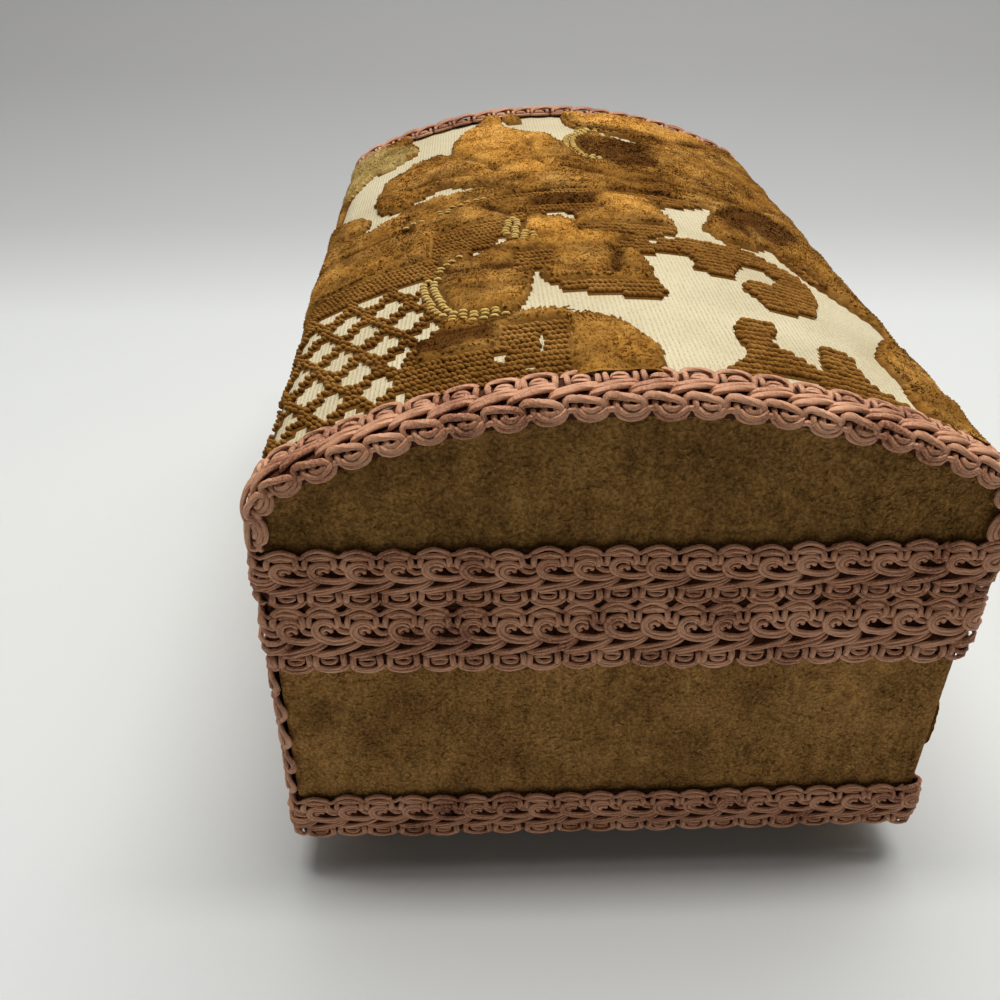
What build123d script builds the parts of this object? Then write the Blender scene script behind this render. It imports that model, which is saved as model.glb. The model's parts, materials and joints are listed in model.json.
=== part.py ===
from build123d import *
import os
from math import cos, pi, radians, sin, sqrt

os.makedirs("parts", exist_ok=True)

# A musical jewelry box with a vaulted lid, covered in cloth and trimmed with braid.
# X runs along the length, the front faces -Y, the hinges are at +Y and Z points up.
# The origin is on the table, under the centre of the box. All sizes are in millimetres.

# Wooden carcass
carcass_length = 194.0
carcass_depth = 119.0
wall = 5.0
foot_height = 9.0
body_height = 60.0
lid_gap = 0.4
bottom_recess = 3.0
bottom_thickness = 5.0

# Lid shape
lid_side_height = 20.8
lid_crown = 14.7
shoulder_radius = 7.0
lid_rail_height = 14.0
dome_thickness = 3.0

# Cloth and braid
cover = 1.2
cover_corner = 1.0
braid = 1.8
base_braid_height = 12.5
rim_braid_height = 15.4
lid_braid_height = 11.0
corner_braid_width = 12.0
corner_braid_wrap = 0.9
arch_braid_on_vault = 10.4
arch_braid_on_end = 3.6

# Feet
foot_radius = 6.5
foot_inset_x = 12.5
foot_inset_y = 13.0

# Hinges
hinge_length = 22.0
hinge_inset = 36.0
hinge_leaf = 0.8
knuckle_radius = 1.5
knuckle_gap = 0.3
hinge_pin_radius = 0.7
pin_clearance = 0.05
hinge_pin_head = 0.2

# Inside
lining = 1.2
compartment_length = 58.0
divider_thickness = 3.0
divider_height = 47.0
platform_height = 30.0
platform_thickness = 3.0
ledge_width = 2.5
ledge_height = 4.0
lining_below_rim = 1.0
soft_gap = 0.4
pad_thickness = 5.5
pad_crown = 2.0
pad_pull = 0.8
pad_edge = 1.8
ring_roll_count = 4
ring_roll_height = 11.0
ring_tray_strip = 3.0

# Lid inside
lid_lining_recess = 5.2
lid_padding = 3.0
lid_board_thickness = 2.5
mirror_thickness = 2.0
mirror_length = 126.0
mirror_depth = 66.0
mirror_lip = 2.0

# Music movement
bed_thickness = 2.5
arbor_radius = 1.6
barrel_offset = 18.0
barrel_radius = 12.0
barrel_height = 9.5
barrel_lift = 0.5
barrel_plate_gap = 0.4
arbor_end = 0.3
gear_module = 0.5
crown_teeth = 40
crown_inner_radius = 9.4
crown_outer_radius = 11.9
crown_tooth_height = 1.15
crown_pitch_height = 0.65
crown_pinion_spread = 1.06
crown_tooth_share = 0.34
crown_tooth_sink = 0.2
pinion_teeth = 16
pinion_face = 2.4
cylinder_radius = 6.5
cylinder_length = 16.0
cylinder_arbor_radius = 1.0
cylinder_pin_height = 0.5
cylinder_pin_width = 0.3
pins_per_track = 2
pin_turn_by_track = 137.5
pin_turn_by_beat = 211.0
pin_sink = 0.5
comb_teeth = 18
comb_gap = 0.3
comb_thickness = 0.9
comb_length = 14.5
comb_slot = 0.3
comb_base_depth = 5.0
comb_step = 0.25
cylinder_gear_teeth = 30
cylinder_gear_face = 1.6
governor_pinion_teeth = 10
governor_pinion_face = 2.0
governor_arbor_radius = 0.8
mesh_clearance = 0.15
worm_wheel_teeth = 16
worm_wheel_face = 1.6
worm_turns = 2
worm_pitch_radius = 1.6
worm_core_radius = 1.0
worm_outer_radius = 2.0
worm_core_end = 0.6
worm_end_gap = 1.0
worm_thread_share = 0.46
worm_root_sink = 0.15
worm_shaft_radius = 0.6
worm_wheel_clearance = 0.05
fan_radius = 5.0
fan_height = 3.2
fan_blade = 0.4
fan_hub_radius = 1.4
bearing_plate = 2.0
bearing_margin = 2.6
bearing_clearance = 0.05
side_gap = 0.6
bed_corner = 2.0
bed_margin = 1.0
bracket_thickness = 1.2
bracket_width = 6.0
bracket_end = 1.6
stop_wire_radius = 0.6
stop_wire_tail = 4.5
stop_arm_gap = 0.35
stop_arm_length = 4.0
stop_arm_width = 0.8
stop_leg_gap = 0.9
stop_tip_radius = 1.1
stop_tip_height = 1.2
stop_lid_gap = 0.3
stop_hole_clearance = 0.6

# Winding key
key_floor_gap = 1.5
key_wing_width = 17.0
key_wing_height = 7.0
key_wing_thickness = 1.4
key_wing_corner = 3.1
key_eye_offset = 5.1
key_eye_radius = 1.4
key_hub_inset = 2.1
key_hub_radius = 2.8
key_hub_height = 8.0
key_hole_clearance = 0.6

# Places worked out from the sizes above
half_length = carcass_length / 2
half_depth = carcass_depth / 2
inner_x = half_length - wall
inner_y = half_depth - wall
outer_x = half_length + cover
outer_y = half_depth + cover
braid_x = outer_x + braid
braid_y = outer_y + braid
body_top = foot_height + body_height
lid_bottom = body_top + lid_gap
board_bottom = foot_height + bottom_recess
board_top = board_bottom + bottom_thickness
rail_top = lid_bottom + lid_rail_height
crown_radius = (half_depth ** 2 + lid_crown ** 2) / (2 * lid_crown)
crown_centre = lid_bottom + lid_side_height + lid_crown - crown_radius
hinge_y = braid_y
hinge_z = body_top + lid_gap / 2
divider_x = -inner_x + compartment_length
well_x = divider_x + divider_thickness
platform_z = board_top + platform_height
platform_top = platform_z + platform_thickness
lining_top = body_top - lining_below_rim
lid_lining_z = lid_bottom + lid_lining_recess
lid_board_z = lid_lining_z + lid_padding

movement_x = (divider_x - inner_x) / 2
barrel_y = barrel_offset
bed_top = board_top + bed_thickness
barrel_base = bed_top + barrel_lift
barrel_top = barrel_base + barrel_height
pinion_radius = pinion_teeth * gear_module / 2 * crown_pinion_spread
crown_mean_radius = pinion_radius * crown_teeth / pinion_teeth
cylinder_z = barrel_top + crown_pitch_height + pinion_radius
near_plate_y = barrel_y - barrel_radius - barrel_plate_gap
cylinder_y = near_plate_y - bearing_plate - side_gap
cylinder_end_y = cylinder_y - cylinder_length
pinion_y = barrel_y - crown_mean_radius - pinion_face / 2
cylinder_gear_y = cylinder_end_y - cylinder_gear_face
cylinder_gear_radius = cylinder_gear_teeth * gear_module / 2
governor_pinion_radius = governor_pinion_teeth * gear_module / 2
governor_x = movement_x - cylinder_gear_radius - governor_pinion_radius - mesh_clearance
worm_wheel_y = cylinder_gear_y - side_gap - worm_wheel_face
worm_wheel_radius = worm_wheel_teeth * gear_module / 2
worm_x = governor_x - worm_wheel_radius - worm_pitch_radius - worm_wheel_clearance
worm_y = worm_wheel_y + worm_wheel_face / 2
worm_pitch = pi * gear_module
worm_length = worm_turns * worm_pitch
far_plate_y = worm_wheel_y - side_gap
bracket_z = cylinder_z + worm_length / 2 + worm_core_end + worm_end_gap
fan_z = bracket_z + bracket_thickness + side_gap
stop_x = worm_x - fan_radius - stop_arm_gap - stop_arm_length
bracket_x = stop_x + stop_wire_radius + stop_leg_gap
bed_x0 = bracket_x - side_gap
bed_y0 = far_plate_y - bearing_plate - bed_margin
bed_y1 = barrel_y + barrel_radius + bed_margin
comb_x0 = movement_x + cylinder_radius + cylinder_pin_height + comb_gap
comb_x1 = comb_x0 + comb_length
bed_x1 = comb_x1 + bed_margin


def block(x0, x1, y0, y1, z0, z1):
    """A rectangular piece between two opposite corners."""
    centre = Pos((x0 + x1) / 2, (y0 + y1) / 2, (z0 + z1) / 2)
    return centre * Box(x1 - x0, y1 - y0, z1 - z0)


def rod(x, y, z0, z1, radius):
    """An upright cylinder from z0 to z1."""
    return Pos(x, y, (z0 + z1) / 2) * Cylinder(radius, z1 - z0)


def lying_rod(x, z, y0, y1, radius):
    """A cylinder that lies along Y from y0 to y1."""
    return Pos(x, (y0 + y1) / 2, z) * Rot(90, 0, 0) * Cylinder(radius, y1 - y0)


# Lid section

def lid_outline(grow, base):
    """The lid's cross-section, moved outwards by grow, from the height base up."""
    half = half_depth + grow
    radius = crown_radius + grow
    shoulder = crown_centre + sqrt(radius ** 2 - half ** 2)
    floor = Line((-half, base), (half, base))
    right = Line((half, base), (half, shoulder))
    vault = ThreePointArc((half, shoulder), (0, crown_centre + radius), (-half, shoulder))
    left = Line((-half, shoulder), (-half, base))
    face = make_face([floor, right, vault, left])
    shoulders = face.vertices().sort_by(Axis.Y)[-2:]
    return Plane.YZ * fillet(shoulders, max(shoulder_radius + grow, 1.0))


def lid_prism(grow, base, x0, x1):
    """The lid's cross-section drawn out along X."""
    return extrude(Pos(x0, 0, 0) * lid_outline(grow, base), x1 - x0, dir=(1, 0, 0))


# Braid

def braid_band(base, width):
    """A band of braid around the covered box, with room for the hinge barrels at the back."""
    outside = RectangleRounded(2 * braid_x, 2 * braid_y, cover_corner + braid)
    inside = RectangleRounded(2 * outer_x, 2 * outer_y, cover_corner)
    band = extrude(Pos(0, 0, base) * (outside - inside), width)
    if base + width > body_top - knuckle_radius - knuckle_gap:
        for x in hinge_places:
            band -= hinge_pocket(x)
    return band


def corner_braid(side):
    """The upright braid on the front face beside a corner, between the two bands."""
    low = foot_height + base_braid_height
    high = body_top - rim_braid_height
    outer = outer_x + corner_braid_wrap
    x0, x1 = sorted((side * outer, side * (outer - corner_braid_width)))
    return block(x0, x1, -outer_y - braid, -outer_y, low, high)


def arch_braid(side):
    """The braid over one end of the lid: part of its width lies on the vault and part on the end."""
    base = lid_bottom + lid_braid_height
    inner = outer_x - arch_braid_on_vault
    band = lid_prism(cover + braid, base, inner, braid_x)
    band -= lid_prism(cover, base - 1, inner - 1, outer_x)
    band -= lid_prism(cover - arch_braid_on_end, base - 1, inner - 1, braid_x + 1)
    return band if side > 0 else mirror(band, Plane.YZ)


# Hinges

hinge_places = [-(half_length - hinge_inset), half_length - hinge_inset]
knuckle = hinge_length / 3
leaf_edge = hinge_y - knuckle_radius - knuckle_gap


def hinge_pocket(x):
    """The room that one hinge takes out of walls, cloth and braid."""
    low = body_top - hinge_leaf
    high = lid_bottom + hinge_leaf
    half = hinge_length / 2
    leaves = block(x - half, x + half, inner_y, hinge_y + 1, low, high)
    barrel = Rot(0, 90, 0) * Cylinder(knuckle_radius + knuckle_gap, hinge_length + 2 * knuckle_gap)
    return leaves + Pos(x, hinge_y, hinge_z) * barrel


def hinge_barrel(x0, x1):
    """A stretch of the hinge's rolled barrel."""
    length = x1 - x0
    tube = Cylinder(knuckle_radius, length) - Cylinder(hinge_pin_radius + pin_clearance, length + 1)
    return Pos((x0 + x1) / 2, hinge_y, hinge_z) * Rot(0, 90, 0) * tube


def hinge_leaf_plate(x, z0, z1, spans):
    """One leaf: a plate with rolled knuckles on the given spans."""
    half = hinge_length / 2
    plate = block(x - half, x + half, inner_y, leaf_edge, z0, z1)
    bore = Cylinder(hinge_pin_radius + pin_clearance, hinge_length + 1)
    bore = Pos(x, hinge_y, hinge_z) * Rot(0, 90, 0) * bore
    for x0, x1 in spans:
        tab = block(x0, x1, leaf_edge, hinge_y, z0, z1) - bore
        plate = plate.fuse(tab, hinge_barrel(x0, x1))
    return plate


def body_leaf(x):
    half = hinge_length / 2
    spans = [(x - half, x - knuckle / 2 - knuckle_gap), (x + knuckle / 2 + knuckle_gap, x + half)]
    return hinge_leaf_plate(x, body_top - hinge_leaf, body_top, spans)


def lid_leaf(x):
    return hinge_leaf_plate(x, lid_bottom, lid_bottom + hinge_leaf, [(x - knuckle / 2, x + knuckle / 2)])


def hinge_pin(x):
    pin = Cylinder(hinge_pin_radius, hinge_length + 2 * hinge_pin_head)
    return Pos(x, hinge_y, hinge_z) * Rot(0, 90, 0) * pin


# Gears

def gear_face(teeth, pitch_radius, pitch, phase=0.0):
    """A gear's outline with slender straight-sided teeth, one of them at the angle phase."""
    tip = pitch_radius + 0.6 * pitch / pi
    root = pitch_radius - 1.0 * pitch / pi
    share = 2 * pi / teeth
    points = []
    for k in range(teeth):
        middle = radians(phase) + k * share
        for radius, part in ((root, -0.25), (tip, -0.12), (tip, 0.12), (root, 0.25)):
            angle = middle + part * share
            points.append((radius * cos(angle), radius * sin(angle)))
    return make_face(Polyline(*points, close=True))


def lying_gear(x, z, y0, face, teeth, pitch_radius, bore, phase):
    """A gear whose axle lies along Y. Phase 90 puts a tooth straight down, 180 one towards -X."""
    pitch = 2 * pi * pitch_radius / teeth
    wheel = extrude(gear_face(teeth, pitch_radius, pitch, phase), face) - Cylinder(bore, 4 * face)
    return Pos(x, y0, z) * Rot(-90, 0, 0) * wheel


def crown_teeth_ring():
    """Teeth that stand on the barrel's rim, with a gap on the side towards the cylinder."""
    pitch = 2 * pi * crown_mean_radius / crown_teeth
    half = crown_tooth_share * pitch / 2
    low = barrel_top - crown_tooth_sink
    tooth = block(crown_inner_radius, crown_outer_radius, -half, half, low, barrel_top + crown_tooth_height)
    share = 360 / crown_teeth
    return [Rot(0, 0, -90 + (k + 0.5) * share) * tooth for k in range(crown_teeth)]


# Movement

def spring_barrel():
    """The closed barrel of the mainspring, with the crown teeth on its rim."""
    drum = rod(0, 0, barrel_base, barrel_top, barrel_radius).fuse(*crown_teeth_ring())
    drum -= rod(0, 0, 0, 2 * barrel_top, arbor_radius + bearing_clearance)
    return Pos(movement_x, barrel_y, 0) * drum


def winding_arbor():
    """The arbor from the key's hub up through the bed and the barrel."""
    hub_top = key_floor_gap + key_hub_inset + key_hub_height
    return rod(movement_x, barrel_y, hub_top, barrel_top + arbor_end, arbor_radius)


def winding_key():
    """A wing key: a flat plate with two eyes on a round hub."""
    low = key_floor_gap
    middle = low + key_wing_height / 2
    outline = RectangleRounded(key_wing_width, key_wing_height, key_wing_corner)
    for side in (-1, 1):
        outline -= Pos(side * key_eye_offset, 0) * Circle(key_eye_radius)
    wing = extrude(Plane.XZ.offset(-key_wing_thickness / 2) * outline, key_wing_thickness)
    hub_low = low + key_hub_inset
    hub_top = hub_low + key_hub_height
    key = Pos(0, 0, middle) * wing + rod(0, 0, hub_low, hub_top, key_hub_radius)
    return Pos(movement_x, barrel_y, 0) * key


def pinned_cylinder():
    """The tune cylinder: a drum with rows of small pins, a few on each track."""
    drum = Cylinder(cylinder_radius, cylinder_length) - Cylinder(cylinder_arbor_radius, cylinder_length + 1)
    length = cylinder_pin_height + pin_sink
    pin = Box(length, cylinder_pin_width, cylinder_pin_width)
    pin = Pos(cylinder_radius - pin_sink + length / 2, 0, 0) * pin
    track = cylinder_length / comb_teeth
    pins = []
    for k in range(comb_teeth):
        along = -cylinder_length / 2 + (k + 0.5) * track
        for beat in range(pins_per_track):
            turn = k * pin_turn_by_track + beat * pin_turn_by_beat
            pins.append(Rot(0, 0, turn) * Pos(0, 0, along) * pin)
    drum = drum.fuse(*pins)
    return Pos(movement_x, (cylinder_y + cylinder_end_y) / 2, cylinder_z) * Rot(90, 0, 0) * drum



def cylinder_arbor():
    """The cylinder's steel arbor with the pinion that the barrel drives."""
    start = far_plate_y - bearing_plate + arbor_end
    shaft = lying_rod(movement_x, cylinder_z, start, pinion_y + pinion_face, cylinder_arbor_radius)
    core = cylinder_arbor_radius / 2
    pinion = lying_gear(
        movement_x, cylinder_z, pinion_y, pinion_face, pinion_teeth, pinion_radius, core, 90,
    )
    return shaft + pinion


def cylinder_gear():
    """The wheel on the cylinder's end that drives the governor's pinion."""
    return lying_gear(
        movement_x, cylinder_z, cylinder_gear_y, cylinder_gear_face, cylinder_gear_teeth,
        cylinder_gear_radius, cylinder_arbor_radius, 180,
    )


def governor_arbor():
    """The second arbor, with the pinion that the cylinder's wheel drives."""
    start = far_plate_y - bearing_plate + arbor_end
    shaft = lying_rod(governor_x, cylinder_z, start, near_plate_y - arbor_end, governor_arbor_radius)
    pinion_start = cylinder_gear_y + (cylinder_gear_face - governor_pinion_face) / 2
    gap_angle = 180 / governor_pinion_teeth
    pinion = lying_gear(
        governor_x, cylinder_z, pinion_start, governor_pinion_face, governor_pinion_teeth,
        governor_pinion_radius, governor_arbor_radius / 2, gap_angle,
    )
    return shaft + pinion


def governor_wheel():
    """The wheel on the second arbor that turns the worm."""
    gap_angle = 180 + 180 / worm_wheel_teeth
    return lying_gear(
        governor_x, cylinder_z, worm_wheel_y, worm_wheel_face, worm_wheel_teeth, worm_wheel_radius,
        governor_arbor_radius, gap_angle,
    )


def governor_worm():
    """The endless screw: a spindle with one helical thread that meets the governor wheel."""
    low = cylinder_z - worm_length / 2
    path = Helix(worm_pitch, worm_length, worm_core_radius)
    section_plane = Plane(origin=path @ 0, x_dir=(1, 0, 0), z_dir=path % 0)
    reach = worm_outer_radius - worm_core_radius
    foot_width = worm_thread_share * worm_pitch / 2
    corners = [(-worm_root_sink, -foot_width), (reach, 0), (-worm_root_sink, foot_width)]
    outline = Polyline(*corners, close=True)
    thread = sweep(section_plane * make_face(outline), path=path, is_frenet=True)
    thread = Rot(0, 0, -180 * worm_turns) * Pos(0, 0, low) * thread
    core = rod(0, 0, low - worm_core_end, low + worm_length + worm_core_end, worm_core_radius)
    spindle = rod(0, 0, board_top + arbor_end, fan_z + fan_height + arbor_end, worm_shaft_radius)
    return Pos(worm_x, worm_y, 0) * (core + spindle + thread)


def governor_fan():
    """The air brake: two blades on a hub, pressed on the worm's spindle."""
    blade = block(-fan_radius, fan_radius, -fan_blade / 2, fan_blade / 2, fan_z, fan_z + fan_height)
    fan = rod(0, 0, fan_z, fan_z + fan_height, fan_hub_radius) + blade
    fan -= rod(0, 0, fan_z - 1, fan_z + fan_height + 1, worm_shaft_radius)
    return Pos(worm_x, worm_y, 0) * Rot(0, 0, 90) * fan


def bearing(y0, y1):
    """An upright plate that holds the cylinder's arbor and the governor's arbor."""
    left = governor_x - bearing_margin
    right = movement_x + bearing_margin + cylinder_arbor_radius
    plate = block(left, right, y0, y1, bed_top, cylinder_z + bearing_margin)
    plate -= lying_rod(movement_x, cylinder_z, y0 - 1, y1 + 1, cylinder_arbor_radius + bearing_clearance)
    plate -= lying_rod(governor_x, cylinder_z, y0 - 1, y1 + 1, governor_arbor_radius + bearing_clearance)
    return plate


def movement_bedplate():
    """The cast bed with its two bearing plates and the block that carries the comb."""
    bed = block(bed_x0, bed_x1, bed_y0, bed_y1, board_top, bed_top)
    bed = chamfer(bed.edges().filter_by(Axis.Z), bed_corner)
    comb_under = cylinder_z - comb_thickness / 2
    comb_block = block(comb_x1 - comb_base_depth, comb_x1, cylinder_end_y, cylinder_y, bed_top, comb_under)
    near = bearing(near_plate_y - bearing_plate, near_plate_y)
    far = bearing(far_plate_y - bearing_plate, far_plate_y)
    bed = bed.fuse(comb_block, near, far)
    bed -= rod(movement_x, barrel_y, 0, bed_top + 1, arbor_radius + bearing_clearance)
    bed -= rod(worm_x, worm_y, 0, bed_top + 1, worm_shaft_radius + bearing_clearance)
    return bed


def comb():
    """The steel comb: one tooth to each track of the cylinder, longer towards the bass end."""
    low = cylinder_z - comb_thickness / 2
    high = cylinder_z + comb_thickness / 2
    plate = block(comb_x0, comb_x1, cylinder_end_y, cylinder_y, low, high)
    track = cylinder_length / comb_teeth
    slots = []
    for k in range(1, comb_teeth):
        y = cylinder_end_y + k * track
        depth = comb_length - comb_base_depth - comb_step * k
        y0, y1 = y - comb_slot / 2, y + comb_slot / 2
        slots.append(block(comb_x0 - 1, comb_x0 + depth, y0, y1, low - 1, high + 1))
    return plate.cut(*slots)


def governor_bracket():
    """A bent strip that holds the top of the worm's spindle and guides the stop wire."""
    y0, y1 = worm_y - bracket_width / 2, worm_y + bracket_width / 2
    top = bracket_z + bracket_thickness
    arm = block(stop_x - bracket_end, worm_x + worm_core_radius + bracket_end, y0, y1, bracket_z, top)
    leg = block(bracket_x, bracket_x + bracket_thickness, y0, y1, bed_top, top)
    bracket = arm + leg
    bracket -= rod(worm_x, worm_y, bracket_z - 1, top + 1, worm_shaft_radius + bearing_clearance)
    bracket -= rod(stop_x, worm_y, bracket_z - 1, top + 1, stop_wire_radius + bearing_clearance)
    return bracket


def stop_wire():
    """The wire that the lid holds down. Its arm stands beside the fan and rises clear of it."""
    arm_z = fan_z + fan_height / 2
    top = lid_lining_z - stop_lid_gap
    wire = rod(stop_x, worm_y, bracket_z - stop_wire_tail, top, stop_wire_radius)
    y0, y1 = worm_y - stop_arm_width / 2, worm_y + stop_arm_width / 2
    z0, z1 = arm_z - stop_wire_radius, arm_z + stop_wire_radius
    arm = block(stop_x, stop_x + stop_arm_length, y0, y1, z0, z1)
    tip = rod(stop_x, worm_y, top - stop_tip_height, top, stop_tip_radius)
    return wire + arm + tip


# Feet and bottom

foot_places = [
    (sx * (half_length - foot_inset_x), sy * (half_depth - foot_inset_y))
    for sx in (-1, 1)
    for sy in (-1, 1)
]


def foot(x, y):
    """A plain round foot glued under the bottom board."""
    return rod(x, y, 0, board_bottom, foot_radius)


def bottom_board():
    """The board under the box, with the hole that the key's hub turns in."""
    board = block(-inner_x, inner_x, -inner_y, inner_y, board_bottom, board_top)
    return board - rod(movement_x, barrel_y, 0, board_top + 1, key_hub_radius + key_hole_clearance)


# Walls

def back_wall():
    board = block(-half_length, half_length, inner_y, half_depth, foot_height, body_top)
    for x in hinge_places:
        board -= hinge_pocket(x)
    return board


def lid_back_rail():
    board = block(-half_length, half_length, inner_y, half_depth, lid_bottom, rail_top)
    for x in hinge_places:
        board -= hinge_pocket(x)
    return board


def lid_end(side):
    """An arched end board between the rails, under the dome panel."""
    board = lid_prism(-dome_thickness, lid_bottom, inner_x, half_length)
    for across in (-1, 1):
        y0, y1 = sorted((across * inner_y, across * (half_depth + 1)))
        board -= block(inner_x - 1, half_length + 1, y0, y1, lid_bottom - 1, rail_top)
    return board if side > 0 else mirror(board, Plane.YZ)


def lid_dome_panel():
    """The bent panel that makes the vault."""
    shell = lid_prism(0, rail_top, -half_length, half_length)
    return shell - lid_prism(-dome_thickness, rail_top - 1, -half_length - 1, half_length + 1)


def movement_platform():
    """The shelf over the movement, with the hole that the stop wire comes up through."""
    shelf = block(-inner_x, divider_x, -inner_y, inner_y, platform_z, platform_top)
    hole = stop_wire_radius + stop_hole_clearance
    return shelf - rod(stop_x, worm_y, platform_z - 1, platform_top + 1, hole)


def mirror_glass():
    half_x, half_y = mirror_length / 2, mirror_depth / 2
    return block(-half_x, half_x, -half_y, half_y, lid_board_z - mirror_thickness, lid_board_z)


# Cloth

def end_velvet(side):
    """The velvet panel on one end of the body, with rounded upright edges."""
    panel = block(half_length, outer_x, -outer_y, outer_y, foot_height, body_top)
    outer = panel.edges().filter_by(Axis.Z).sort_by(Axis.X)[-2:]
    panel = fillet(outer, cover_corner)
    return panel if side > 0 else mirror(panel, Plane.YZ)


def back_brocade():
    panel = block(-half_length, half_length, half_depth, outer_y, foot_height, body_top)
    for x in hinge_places:
        panel -= hinge_pocket(x)
    return panel


def lid_velvet(side):
    """The velvet panel on one arched end of the lid."""
    panel = lid_prism(cover, lid_bottom, half_length, outer_x)
    plan = Pos(0, 0, lid_bottom) * RectangleRounded(2 * outer_x, 2 * outer_y, cover_corner)
    panel = panel & extrude(plan, 2 * (lid_side_height + lid_crown))
    return panel if side > 0 else mirror(panel, Plane.YZ)


def lid_brocade_cover():
    sheet = lid_prism(cover, lid_bottom, -half_length, half_length)
    sheet -= lid_prism(0, lid_bottom - 1, -half_length - 1, half_length + 1)
    for x in hinge_places:
        sheet -= hinge_pocket(x)
    return sheet


# Linings and cushions

def lining_ring(x0, x1, base):
    """A thin lining around an inside space."""
    ring = block(x0, x1, -inner_y, inner_y, base, lining_top)
    inside_y = inner_y - lining
    return ring - block(x0 + lining, x1 - lining, -inside_y, inside_y, base - 1, lining_top + 1)


def well_floor_pad():
    """A crowned floor cushion whose sides pull in between the corners."""
    x0, x1 = well_x + lining + soft_gap, inner_x - lining - soft_gap
    half = inner_y - lining - soft_gap
    middle = (x0 + x1) / 2
    outline = make_face([
        ThreePointArc((x0, -half), (middle, -half + pad_pull), (x1, -half)),
        ThreePointArc((x1, -half), (x1 - pad_pull, 0), (x1, half)),
        ThreePointArc((x1, half), (middle, half - pad_pull), (x0, half)),
        ThreePointArc((x0, half), (x0 + pad_pull, 0), (x0, -half)),
    ])
    top = board_top + pad_thickness + pad_crown
    slab = extrude(Pos(0, 0, board_top) * outline, pad_thickness + pad_crown)
    radius = (half ** 2 + pad_crown ** 2) / (2 * pad_crown)
    crown = Rot(0, 90, 0) * Cylinder(radius, x1 - x0 + 2)
    slab = slab & (Pos(middle, 0, top - radius) * crown)
    return chamfer(slab.faces().sort_by(Axis.Z)[-1].edges(), pad_edge)


def ring_rolls():
    """Padded rolls side by side. Rings are pushed between them."""
    x0 = stop_x + ring_tray_strip
    x1 = divider_x - lining - soft_gap
    pitch = (x1 - x0) / ring_roll_count
    half = inner_y - lining - soft_gap
    reach = (pitch - soft_gap) / 2
    side = platform_top + ring_roll_height - reach
    rolls = []
    for k in range(ring_roll_count):
        middle = x0 + (k + 0.5) * pitch
        section = make_face([
            Line((middle - reach, platform_top), (middle + reach, platform_top)),
            Line((middle + reach, platform_top), (middle + reach, side)),
            ThreePointArc((middle + reach, side), (middle, side + reach), (middle - reach, side)),
            Line((middle - reach, side), (middle - reach, platform_top)),
        ])
        rolls.append(extrude(Plane.XZ.offset(-half) * section, 2 * half))
    return rolls


def lid_satin_lining():
    """A padded frame around the mirror, with a lip that holds the glass."""
    top = lid_board_z
    frame = block(-inner_x, inner_x, -inner_y, inner_y, lid_lining_z, top)
    half_x, half_y = mirror_length / 2, mirror_depth / 2
    frame -= block(-half_x, half_x, -half_y, half_y, top - mirror_thickness, top + 1)
    window_x, window_y = half_x - mirror_lip, half_y - mirror_lip
    frame -= block(-window_x, window_x, -window_y, window_y, lid_lining_z - 1, top)
    return frame


def group(pieces):
    """Separate solids that share one node."""
    return Compound(children=[piece for item in pieces for piece in item.solids()])


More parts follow.
